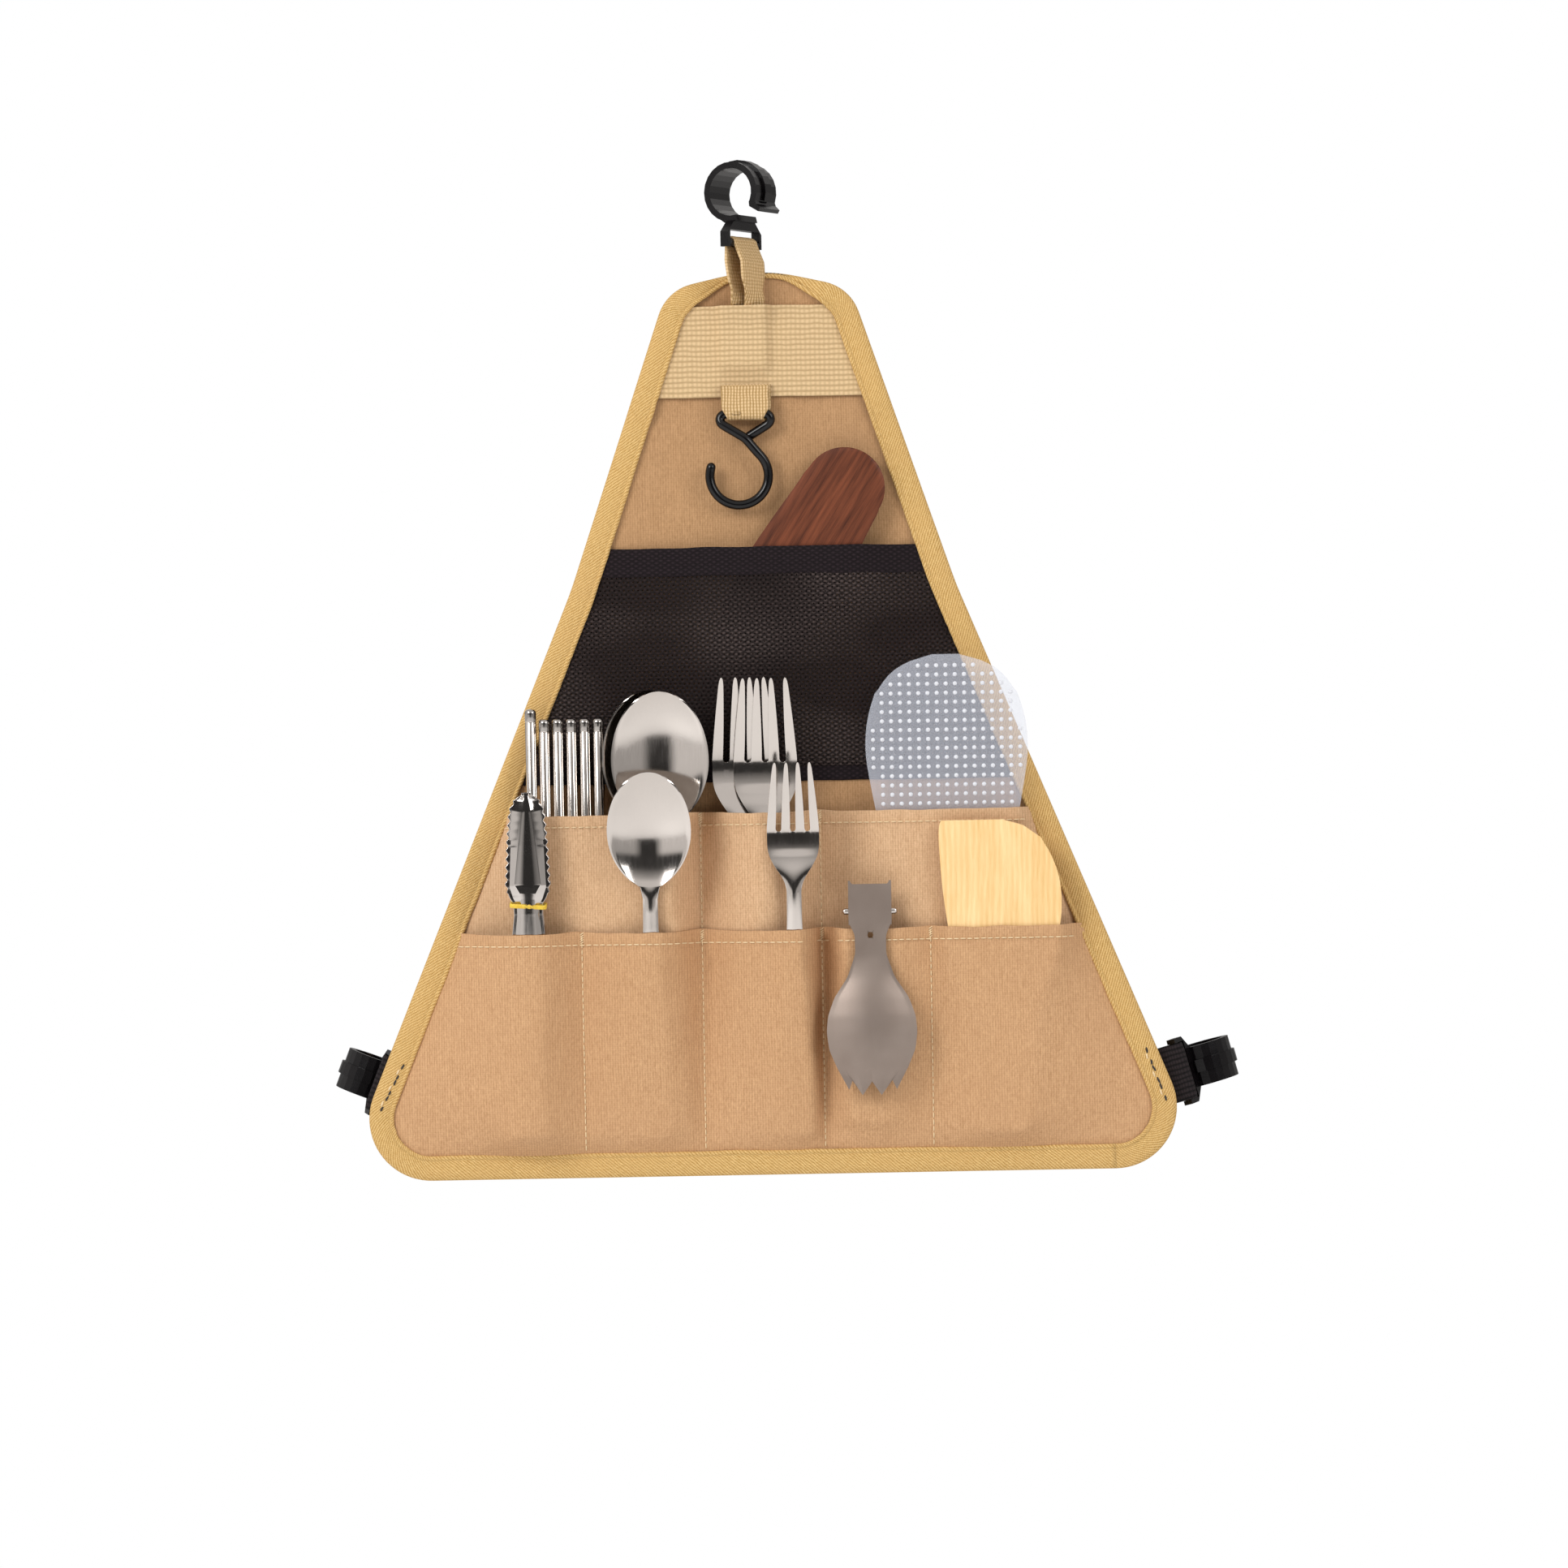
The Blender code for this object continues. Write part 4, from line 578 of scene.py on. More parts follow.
def panel_crease(u, v):
    """How far the canvas sinks back, in mm, in the free part between the net and the band."""
    free = smooth((v - 270) / 16) * smooth((352 - v) / 14) + 0.35 * smooth((v - 386) / 6)
    lines = 0.5 + 0.5 * noise_at(u / 11.0, v / 75.0, 1)
    fine = 0.5 + 0.5 * noise_at(u / 4.0, v / 40.0, 2)
    return free * (1.1 * lines ** 1.6 + 0.25 * fine)


def across_panel(vs, columns, margin):
    """Grids of u and v over the panel's width, less a margin at each side."""
    us = np.array([np.linspace(-1, 1, columns) * half_width(v, margin) for v in vs])
    return us, np.repeat(vs[:, None], columns, axis=1)


def over_grid(function, us, vs):
    """A function of u and v at each place of a grid."""
    return np.array([[function(u, v) for u, v in zip(*row)] for row in zip(us, vs)])


def build_panel():
    """The whole outline in canvas, a little inside the tape's folded edge."""
    us, heights = across_panel(np.arange(PANEL_MARGIN, 400.6, 2.0), 161, PANEL_MARGIN)
    depth = -over_grid(panel_crease, us, heights)
    obj = piece("canvas_panel", spots(us, heights, depth), grid_faces(*us.shape), PANEL_CANVAS_SHADED, "bag",
                "canvas", ["back_panel"], merge=0.01)
    thicken(obj, 0.9)


# Binding tape: folded over the edge of the panel and all that is sewn under it.
# The stack is how far forward its front stands over the layers at each height.
STACK = [(0.0, 2.5), (111.0, 2.5), (119.0, 1.4), (280.0, 1.4), (290.0, 0.3), (334.6, 0.3),
         (342.6, 1.8), (394.5, 1.8), (397.0, 0.3)]
TAPE_BACK = -2.3
TAPE_PEAK_W = 1.9
TAPE_PEAK_V = 385.0


def tape_width(u, v):
    """The tape is rolled back over the peak, where only its edge shows."""
    if v < TAPE_PEAK_V:
        return TAPE_W
    return TAPE_PEAK_W + (TAPE_W - TAPE_PEAK_W) * smooth((abs(u) - 8.0) / 31.0)


def tape_section(u, v, s):
    """(way in from the edge, depth) points round the tape, from its back to its turned-up front edge."""
    over = along(STACK, v)
    width = tape_width(u, v) + 0.25 * noise_at(s / 14.0, 0.0, 3) + 0.22 * noise_at(s / 2.4, 0.0, 6)
    puff = 0.16 * noise_at(s / 7.0, 0.0, 4) + 0.1 * noise_at(s / 2.6, 0.0, 5)
    back = [(TAPE_W, -0.1), (TAPE_W - 0.8, -0.55), (5.0, -0.6), (1.2, -0.5), (0.35, 0.15)]
    front = [(0.3, -0.1), (1.1, 0.5 + puff), (0.35 * width, 0.62 + puff), (0.6 * width, 0.58 + puff)]
    edge = [(-2.1, 0.5), (-1.6, 0.34), (-1.15, 0.72), (-0.6, 0.98), (-0.12, 0.75), (0.0, 0.3),
            (-0.05, 0.05)]
    section = [(away, TAPE_BACK + depth) for away, depth in back] + [(0.0, (over + TAPE_BACK) / 2)]
    section += [(away, over + depth) for away, depth in front]
    return np.array(section + [(width + away, over + depth) for away, depth in edge])


def build_tape():
    """The tape's section, carried all round the outline."""
    reach = distances(OUTLINE)
    rows = []
    for place, way, s in zip(OUTLINE, OUTWARD, reach):
        away, depth = tape_section(*place, s).T
        rows.append(np.column_stack([place - way * away[:, None], depth]))
    rows.append(rows[0])
    grid = np.array(rows)
    steps = np.linalg.norm(np.diff(grid, axis=1), axis=2)
    across = np.concatenate([np.zeros((len(grid), 1)), np.cumsum(steps, axis=1)], axis=1)
    lengths = np.append(reach, reach[-1] + OUTLINE_STEP)
    uv = np.stack([np.repeat(lengths[:, None], across.shape[1], axis=1), across], axis=-1) * MM
    points = spots(grid[..., 0], grid[..., 1], grid[..., 2])
    obj = piece("binding_tape", points, grid_faces(*across.shape), TAPE, "bag", "binding_tape",
                ["edge_binding"], uv=uv)
    thicken(obj, 0.45)


build_panel()
build_tape()


# Solid shapes
def ease_edges(obj, width, angle):
    """Round the edges of a solid whose faces meet at more than an angle."""
    eased = obj.modifiers.new("eased_edges", "BEVEL")
    eased.width = width * MM
    eased.segments = 3
    eased.limit_method = "ANGLE"
    eased.angle_limit = radians(angle)
    return eased


def grid_solid(name, front, back, material, body, slot, nodes, keep=None, bevel=0.3, sharp=40.0):
    """A plate from the grids of its front and back faces; keep says which cells are there."""
    rows, columns = front.shape[:2]
    half = rows * columns
    shown = np.ones((rows - 1, columns - 1), dtype=bool)
    if keep is not None:
        for cell in np.ndindex(shown.shape):
            shown[cell] = keep(*cell)
    faces = []

    def at(i, j):
        return i * columns + j

    def blank(i, j):
        return not (0 <= i < rows - 1 and 0 <= j < columns - 1 and shown[i, j])

    for i, j in np.ndindex(shown.shape):
        if not shown[i, j]:
            continue
        quad = [at(i, j), at(i, j + 1), at(i + 1, j + 1), at(i + 1, j)]
        faces.append(tuple(quad))
        faces.append(tuple(half + k for k in reversed(quad)))
        beside = ((i - 1, j), (i, j + 1), (i + 1, j), (i, j - 1))
        for n, cell in enumerate(beside):
            if blank(*cell):
                a, b = quad[n], quad[(n + 1) % 4]
                faces.append((b, a, half + a, half + b))
    points = np.concatenate([front.reshape(-1, 3), back.reshape(-1, 3)])
    used = sorted({k for face in faces for k in face})
    index = {k: n for n, k in enumerate(used)}
    faces = [tuple(index[k] for k in face) for face in faces]
    obj = piece(name, points[used], faces, material, body, slot, nodes)
    obj.data.set_sharp_from_angle(angle=radians(sharp))
    ease_edges(obj, bevel, sharp)


def tube_faces(count, sides):
    """Faces of a tube of so many rings, closed at both ends."""
    last = (count - 1) * sides
    ends = [tuple(reversed(range(sides))), tuple(range(last, last + sides))]
    return grid_faces(count, sides, wrap=True) + ends


def tube_mesh(path, radius, sides):
    """Points and faces of a round wire along a path, in the path's units; radius may vary along it."""
    path = np.asarray(path, dtype=float)
    radii = np.broadcast_to(radius, (len(path),)).astype(float)
    tangent = np.gradient(path, axis=0)
    tangent /= np.linalg.norm(tangent, axis=1)[:, None]
    side = np.cross(tangent[0], (0.0, 0.0, 1.0))
    if np.linalg.norm(side) < 0.1:
        side = np.cross(tangent[0], (1.0, 0.0, 0.0))
    rings = []
    caps = [(sin(a), cos(a)) for a in map(radians, (88, 60, 30))]
    head = [(path[0] - tangent[0] * radii[0] * s, tangent[0], radii[0] * c) for s, c in caps]
    tail = [(path[-1] + tangent[-1] * radii[-1] * s, tangent[-1], radii[-1] * c)
            for s, c in reversed(caps)]
    for centre, way, r in head + list(zip(path, tangent, radii)) + tail:
        side = side - way * np.dot(side, way)
        side /= np.linalg.norm(side)
        up = np.cross(way, side)
        turns = np.arange(sides) * 2 * pi / sides
        rings.append(centre + r * (np.cos(turns)[:, None] * side + np.sin(turns)[:, None] * up))
    return np.array(rings).reshape(-1, 3), [face[::-1] for face in tube_faces(len(rings), sides)]


def wire_piece(name, path, radius, sides, material, body, slot, node):
    """A round wire with domed ends that stands for a CAD node."""
    points, faces = tube_mesh(path, radius, sides)
    obj = piece(name, points, faces, material, body, slot, [node])
    obj.data.set_sharp_from_angle(angle=radians(60))


def easy_curve(stops, xs, passes):
    """Values at xs of a line through stops, with its corners rounded."""
    value = along(stops, xs)
    ends = value[0], value[-1]
    value = blurred(value, passes, 0)
    value[0], value[-1] = ends
    return value


class Stand:
    """Frame of a utensil: x across it, y to the back, z up it, in mm.

    Its foot is at u and v, floor in front of the panel; way is how far it comes forward per mm of
    height, and tilt swings it aside in degrees.
    """

    def __init__(self, u, floor, way, tilt=0.0, v=18.0):
        turn = Matrix.Rotation(radians(tilt), 3, "Y") @ Matrix.Rotation(atan(way), 3, "X")
        self.turn = np.array(turn)
        self.foot = np.array(spot(u, v, floor))

    def __call__(self, points):
        return self.foot + np.asarray(points) @ self.turn.T * MM


# Plates that are cut to a width at each height
def plate_grids(zs, left, right, xs, front, back):
    """Front and back grids of a plate whose sides are at left and right of x = 0 at each height."""
    middle, half = (left + right) / 2, (right - left) / 2
    x = middle[:, None] + half[:, None] * xs[None, :]
    z = np.repeat(zs[:, None], len(xs), axis=1)
    share = np.repeat(xs[None, :], len(zs), axis=0)
    return (np.stack([x, front(z, share), z], axis=-1), np.stack([x, back(z, share), z], axis=-1))


# Columns that crowd towards both edges, rows that crowd towards the foot, and a rounded foot
EDGE_COLUMNS = np.sin(np.linspace(-pi / 2, pi / 2, 25))
FOOT_ROWS = [0, 0.5, 1.2, 2.4, 4, 6.5, 9]
ROUND_FOOT = [(0.0, 0.5), (0.5, 0.68), (1.2, 0.8), (2.4, 0.9), (4.0, 0.96), (9.0, 1.0)]


def handle_half(zs, neck_z, handle_w, neck_w):
    """Half the width of a handle that narrows to its neck."""
    grip = along(ROUND_FOOT, zs) * handle_w / 2
    narrowed = ease(np.clip(zs / neck_z, 0, 1))
    return np.minimum(grip, (handle_w + (neck_w - handle_w) * narrowed) / 2)


def bowed(zs, top):
    """How far back a handle's middle is: it bows forward as it rises, and its neck curves back."""
    forward, neck_l = 2.9, 24.0
    past = np.clip(zs - (top - neck_l - 2.0), 0.0, neck_l)
    return 0.11 * past * past / (past + 5.0) - forward * np.clip(zs / top, 0.0, 1.0)


def spoon(name, stand, length, bowl_w, dish, handle_w, neck_w, flat_part=1.0, lean=0.0, ahead=0.0):
    """Spoon whose hollow faces forward: an egg-shaped bowl with its wide end up.

    A flat_part over 1 makes the bowl's floor broader, lean tips the bowl back, and ahead stands the
    bowl forward. The crown rounds the front of the handle and fades out in the bowl.
    """
    bowl_l = 1.42 * bowl_w
    centre = length - 0.5 * bowl_l
    start = length - bowl_l - 4.0
    low = np.concatenate([FOOT_ROWS, np.linspace(14, start, 16)])
    angles = np.radians(np.concatenate([np.arange(-72, 80, 4), [80, 83, 86, 88]]))
    high = centre + 0.5 * bowl_l * np.sin(angles)
    zs = np.concatenate([low, high])
    share = np.cos(angles)
    power = np.where(angles > 0, 1.0, 1.25)
    egg = np.maximum(neck_w / 2, share ** power * bowl_w / 2)
    egg[-3:] = share[-3:] * bowl_w / 2
    half = np.concatenate([handle_half(low, start, handle_w, neck_w), egg])
    half[len(low):len(low) + 8] = blurred(half, 3, 0)[len(low):len(low) + 8]
    hollow = np.concatenate([np.zeros(len(low)), dish * (1 - np.abs(np.sin(angles)) ** (2 * flat_part))])
    past = np.maximum(zs - start, 0.0)
    sunk = lean * past * past / (past + 12.0) + bowed(zs, start) - ahead * np.clip(zs / start, 0.0, 1.0)
    crown = np.concatenate([0.35 + 0.75 * np.clip((low - start + 40.0) / 25.0, 0, 1),
                            1.1 * np.clip(1 - (high - start) / 9.0, 0, 1) ** 2])

    def front(z, x):
        lip = 0.55 * np.clip((np.abs(x) - 0.93) / 0.07, 0, 1) * (z > start)
        return sunk[:, None] + hollow[:, None] * (1 - x * x) - crown[:, None] * (1 - x * x) + lip

    def back(z, x):
        return sunk[:, None] + hollow[:, None] * (1 - x * x) + 1.15

    grid_solid("steel_" + name, *stand(plate_grids(zs, -half, half, EDGE_COLUMNS, front, back)), STEEL, name,
               "polished_steel", [name], bevel=0.55)


def fork(name, stand, length, head_w, dip, handle_w, neck_w, ahead=0.0):
    """Four-tined fork with round-bottomed slots; the head dips back and its tips come forward.

    The rows go up the handle and its shoulders to the roots of the tines, and then up the tines;
    columns go over each tine and slot in turn, and the cells of a slot are left out.
    """
    tine_l = 1.35 * head_w
    root = length - tine_l
    neck = root - 1.15 * head_w
    tine_w = 0.17 * head_w
    pitch = (head_w - tine_w) / 3
    slot_w = pitch - tine_w
    columns, in_slot = [], []
    for k in range(4):
        centre = pitch * (k - 1.5)
        for s in np.linspace(-1, 1, 7):
            columns.append(centre + s * tine_w / 2)
            in_slot.append(0.0)
        if k < 3:
            for s in np.linspace(-1, 1, 9)[1:-1]:
                columns.append(centre + pitch / 2 + s * slot_w / 2)
                in_slot.append(sqrt(1 - s * s))
    columns, in_slot = np.array(columns), np.array(in_slot)
    slot_cell = [in_slot[j] > 0 or in_slot[j + 1] > 0 for j in range(len(columns) - 1)]
    low = np.concatenate([FOOT_ROWS, np.linspace(14, neck, 12)])
    spread = [(0.0, 0.0), (0.2, 0.22), (0.42, 0.55), (0.65, 0.85), (0.85, 1.0), (1.0, 1.0)]
    shares = np.linspace(0, 1, 20)[1:]
    shoulder = neck_w / 2 + (head_w - neck_w) / 2 * ease(easy_curve(spread, shares, 2))
    body_half = np.concatenate([handle_half(low, neck, handle_w, neck_w), shoulder])
    body_z = np.concatenate([low, neck + shares * (root - neck)])
    rows = []
    for z, half in zip(body_z, body_half):
        lift = slot_w / 2 * (1 - in_slot) * smooth((z - root + 8) / 8)
        rows.append(np.stack([columns * half * 2 / head_w, z + lift], axis=-1))
    body = len(rows)
    rounded = {0.96: 0.86, 0.985: 0.62, 1.0: 0.22}
    for up in (0.08, 0.2, 0.35, 0.5, 0.65, 0.8, 0.9, 0.96, 0.985, 1.0):
        z = root + slot_w / 2 + up * (tine_l - slot_w / 2)
        tip = (1 - 0.62 * up ** 1.6) * rounded.get(up, 1.0)
        line = np.zeros((len(columns), 2))
        for j, x in enumerate(columns):
            k = int(round(min(max(x / pitch + 1.5, 0), 3)))
            centre = pitch * (k - 1.5)
            edge = min(max((x - centre) / (tine_w / 2), -1), 1)
            line[j] = (centre * (1 - 0.2 * up) + edge * tine_w / 2 * tip, z)
        rows.append(line)
    flat = np.array(rows)
    share = np.clip((flat[..., 1] - neck) / (length - neck), 0, 1)
    split = (root - neck) / (length - neck)
    # How fast the head's middle sinks back along it, from the neck to the tips
    slopes = [(-0.02, 0.0), (0.0, 0.04), (0.16 * split, 0.15), (0.5 * split, 0.34), (0.93 * split, 0.19),
              (split, -0.03), (split + 0.1, -0.07), (1.0, -0.14)]
    line = np.linspace(0, 1, 201)
    rates = along(slopes, line)
    sink = np.concatenate([[0.0], np.cumsum((rates[1:] + rates[:-1]) / 2)]) * (length - neck) / 200
    forward = ahead + max(0.0, sink.max() - dip - 0.6)
    dipped = np.interp(share, line, sink) - forward * np.clip(flat[..., 1] / neck, 0, 1)
    dipped = dipped + bowed(flat[..., 1], neck)
    past_neck = flat[..., 1] - neck
    round_neck = np.clip((past_neck + 40.0) / 25.0, 0, 1) * np.clip(1 - past_neck / 12.0, 0, 1)
    crown = (1 - (columns / (head_w / 2)) ** 2)[None, :]
    dipped = dipped - (0.3 + 0.8 * round_neck) * crown * (share < 0.3) + 0.3 * crown * np.sin(pi * share)
    front = np.stack([flat[..., 0], dipped, flat[..., 1]], axis=-1)
    back = front + np.array([0, 1.2, 0])
    grid_solid("steel_" + name, stand(front), stand(back), STEEL, name, "polished_steel", [name],
               keep=lambda i, j: i < body - 1 or not slot_cell[j])


# Chopsticks, spoons and forks
def build_chopsticks():
    """Round steel sticks with a groove turned near the top; the first one stands higher."""
    radius, sides = 2.5, 20
    turns = np.arange(sides) * 2 * pi / sides
    for k in range(6):
        length = 190.0 - (4.5 if k else 0.0)
        stand = Stand(-104.0 + k * 5.95, 3.5, 0.049)
        profile = [(0.0, 0.3), (0.15, 0.6), (0.5, 0.82), (1.2, 0.95), (3.0, 1.0)]
        profile += [(length - down, share) for down, share in
                    ((6.2, 1.0), (6.0, 0.96), (5.6, 0.96), (5.4, 1.0), (1.8, 1.0), (0.9, 0.93), (0.3, 0.72),
                     (0.0, 0.35))]
        rings = np.array([[(radius * share * cos(a), radius * share * sin(a), z) for a in turns]
                          for z, share in profile])
        name = f"chopstick_{k + 1}"
        obj = piece("steel_" + name, stand(rings), tube_faces(len(profile), sides), [STEEL, DARK_STEEL],
                    name, "polished_steel", [name])
        obj.data.set_sharp_from_angle(angle=radians(30))
        # Faces above the groove take the darker steel: painted shade on the caps.
        above_groove = 8 * sides
        for face in obj.data.polygons:
            if face.index >= above_groove:
                face.material_index = 1


def build_cutlery():
    """The table set stands in the upper pocket, the dessert set in the lower one."""
    table_spoon = {"length": 197.5, "bowl_w": 43, "dish": 5.8, "handle_w": 17, "neck_w": 7.2,
                   "flat_part": 1.8, "lean": 0.06}
    table_fork = {"length": 202.5, "head_w": 28, "dip": 4.5, "handle_w": 17, "neck_w": 7.2}
    spoon("table_spoon_rear", Stand(-51.2, 2.3, 0.076), **table_spoon)
    spoon("table_spoon_front", Stand(-47.0, 4.2, 0.11661), **table_spoon, ahead=0.8)
    fork("table_fork_rear", Stand(-10.1, 2.3, 0.076), **table_fork)
    fork("table_fork_front", Stand(-0.6, 4.2, 0.1057), **table_fork)
    spoon("dessert_spoon", Stand(-52.3, 7.6, 0.15648), 163, 37, 5.4, 14, 6.5)
    fork("dessert_fork", Stand(11.0, 7.6, 0.13437), 166, 23, 3.8, 14, 6.5, ahead=4.0)


# Paddle, turner and spatula
PADDLE_L = 211.0
PADDLE_W = 73.0


def paddle_half(zs):
    """Half the paddle's width: a plain grip, and a blade that is broadest at four fifths of the length."""
    grip = 12.5
    stops = [(z, s * grip) for z, s in ROUND_FOOT]
    stops += [(s * PADDLE_L, h * grip) for s, h in ((0.28, 1.0), (0.4, 1.16), (0.47, 1.6))]
    stops += [(s * PADDLE_L, h * PADDLE_W) for s, h in
              ((0.58, 0.38), (0.7, 0.45), (0.8, 0.5), (0.885, 0.475), (0.947, 0.385), (0.982, 0.26),
               (1.0, 0.08))]
    return along(stops, zs)


def build_paddle():
    """Thin moulded plate, hollowed a little towards its rim."""
    stand = Stand(79.6, 4.0, 0.053)
    zs = np.concatenate([FOOT_ROWS, np.arange(14, 195, 4.5),
                         [196, 199, 202, 204.5, 206.5, 208.2, 209.5, 210.4, PADDLE_L]])
    half = paddle_half(zs)
    half[8:-3] = blurred(half, 3, 0)[8:-3]
    grids = plate_grids(zs, -half, half, EDGE_COLUMNS, lambda z, x: 0.5 * np.abs(x) ** 6,
                        lambda z, x: 2.9 + 0 * z)
    grid_solid("frosted_rice_paddle", *stand(grids), FROSTED, "rice_paddle", "frosted_plastic",
               ["rice_paddle"], bevel=0.6)
    build_dots(stand, zs, half)


def build_dots(stand, zs, half):
    """Rows of raised dots over the blade, kept off its rim."""
    points, faces = [], []
    pitch, dot_r, rise = 4.06, 1.0, 0.4
    blade_z, blade_r, rim = 172.0, 36.4, 2.5
    for row in range(40):
        z = 60.0 + row * pitch
        limit = float(np.interp(z, zs, half)) - rim
        if z > PADDLE_L - 3 or limit < 4:
            continue
        for k in range(-9, 10):
            x = k * pitch
            if abs(x) > limit or sqrt(x * x + max(0, z - blade_z) ** 2) > blade_r:
                continue
            start = len(points)
            points.append((x, -rise, z))
            for r, y in ((0.55, -rise * 0.8), (0.9, -rise * 0.3), (1.0, 0.06)):
                for n in range(8):
                    a = 2 * pi * n / 8
                    points.append((x + dot_r * r * cos(a), y, z + dot_r * r * sin(a)))
            for n in range(8):
                m = (n + 1) % 8
                faces.append((start, start + 1 + n, start + 1 + m))
                for ring in (0, 8):
                    faces.append((start + 1 + ring + n, start + 9 + ring + n, start + 9 + ring + m,
                                  start + 1 + ring + m))
    piece("rice_paddle_dots", stand(points), faces, DIMPLES, "rice_paddle", "frosted_plastic")


def build_turner():
    """Bamboo blade with one straight side and one rounded one, thinning towards its top."""
    stand = Stand(101.5, 11.8, 0.0551)
    length, width = 137.5, 54.0
    edges = ((0.0, -0.09, 0.11), (0.011, -0.15, 0.17), (0.044, -0.175, 0.2), (0.29, -0.22, 0.25),
             (0.45, -0.3, 0.335), (0.58, -0.39, 0.455), (0.69, -0.435, 0.51), (0.785, -0.465, 0.51),
             (0.87, -0.48, 0.455), (0.94, -0.49, 0.35), (0.982, -0.487, 0.2), (1.0, -0.463, 0.037))
    shares = np.concatenate([[0, 0.004, 0.011, 0.025, 0.044, 0.08], np.linspace(0.12, 0.9, 36),
                             [0.92, 0.94, 0.955, 0.968, 0.98, 0.988, 0.994, 0.998, 1.0]])
    heights, lefts, rights = zip(*edges)
    left, right = np.interp(shares, heights, lefts), np.interp(shares, heights, rights)
    left[6:] = blurred(left, 4, 0)[6:]
    right[6:-8] = blurred(right, 4, 0)[6:-8]
    zs = shares * length
    thin = 5.0 * (1 - 0.55 * ease(np.clip((shares - 0.55) / 0.45, 0, 1)))
    columns = np.concatenate([[-1, -0.985, -0.95], np.linspace(-0.85, 0.85, 15), [0.95, 0.985, 1]])
    grids = plate_grids(zs, left * width, right * width, columns, lambda z, x: 0 * z,
                        lambda z, x: thin[:, None] + 0 * z)
    grid_solid("bamboo_turner_blade", *stand(grids), BAMBOO, "bamboo_turner", "bamboo", ["bamboo_turner"],
               bevel=0.8)


def build_spatula():
    """Walnut blade that stands slanting behind the net, with its round end up."""
    tilt, length, width = 32.0, 155.0, 36.0
    half_w = width / 2
    reach = length - half_w
    stand = Stand(36.5 - reach * sin(radians(tilt)), 5.0, 0.027, tilt, 303.3 - reach * cos(radians(tilt)))
    low = np.concatenate([FOOT_ROWS, np.linspace(14, reach - 3, 26)])
    stops = [(z, s * 6.5) for z, s in ROUND_FOOT]
    stops += [(reach * 0.2, 7.5), (reach * 0.42, 1.02 * half_w), (reach * 0.6, 1.22 * half_w),
              (reach * 0.78, 1.15 * half_w), (reach, half_w)]
    body = along(stops, low)
    body[8:] = blurred(body, 4, 0)[8:]
    angles = np.radians(np.array([0, 8, 16, 24, 32, 40, 48, 56, 64, 71, 77, 82, 86, 89]))
    zs = np.concatenate([low, reach + half_w * np.sin(angles)])
    half = np.concatenate([body, half_w * np.cos(angles)])
    grids = plate_grids(zs, -half, half, EDGE_COLUMNS, lambda z, x: 0.8 * np.abs(x) ** 4,
                        lambda z, x: 4.0 + 0 * z)
    grid_solid("walnut_spatula_blade", *stand(grids), WALNUT, "walnut_spatula", "walnut",
               ["walnut_spatula"], bevel=0.9)


def smooth_path(corners, step):
    """Dense path through points, rounded by averaging."""
    path = np.array(corners, dtype=float)
    reach = distances(path)
    places = np.linspace(0.0, reach[-1], int(reach[-1] / step) + 2)
    dense = np.stack([np.interp(places, reach, path[:, k]) for k in range(path.shape[1])], axis=-1)
    ends = dense[0].copy(), dense[-1].copy()
    dense = blurred(dense, 3, 0)
    dense[0], dense[-1] = ends
    return dense


# Tongs and their rubber band: half the width of an arm and of its raised spine, and how far out it is
TONGS_HALF = [(0.0, 7.2), (91.0, 7.2), (99.0, 6.3), (104.0, 6.4), (107.0, 8.2), (111.5, 9.7),
              (130.0, 8.9), (145.0, 7.6), (149.5, 5.6), (152.0, 2.6)]
SPINE_HALF = [(0.0, 3.4), (90.0, 3.4), (99.0, 3.0), (106.0, 2.9), (109.0, 3.6), (112.5, 5.6),
              (130.0, 3.6), (147.0, 1.4), (152.0, 0.6)]
ARM_OUT = [(0.0, 3.4), (46.0, 6.1), (100.0, 6.0), (112.0, 5.6), (145.0, 3.2), (153.0, 2.2)]


def tongs_rows():
    """Each row of an arm: height, columns across, how far each sinks from the spine, and how far out."""
    scallop_pitch = 3.7
    zs = np.concatenate([np.arange(4.0, 96.0, 2.0), np.arange(96.0, 151.5, 0.45), [151.8, 152.4, 152.9]])
    rows = []
    for z in zs:
        half = plain = along(TONGS_HALF, z)
        if 109.0 < z < 150.0:
            scallop = (z / scallop_pitch) % 1.0
            half = half + 0.55 - 1.25 * abs(2 * scallop - 1)
        if z > 151.5:
            half = plain = half * 0.8
        spine = min(along(SPINE_HALF, z), 0.6 * half)
        head = smooth((z - 105.0) / 4.0)
        rim = min(1.5 + 0.2 * head, 0.4 * half)
        xs = [spine, spine + 0.35, plain - rim, half - 0.2, half]
        drop = 1.9 - 0.6 * head + 1.0 * head * min(max((149.0 - z) / 18.0, 0.0), 1.0)
        sink = [0.03, 0.2, drop, drop + 0.1, drop + 0.25]
        rows.append((z, [-x for x in reversed(xs)] + [0.0] + xs, sink[::-1] + [0.0] + sink,
                     along(ARM_OUT, z)))
    return rows


TONGS_MIDDLE = 6.25
TONGS_BEND_Z = 3.6
TONGS_BEND_R = 3.4


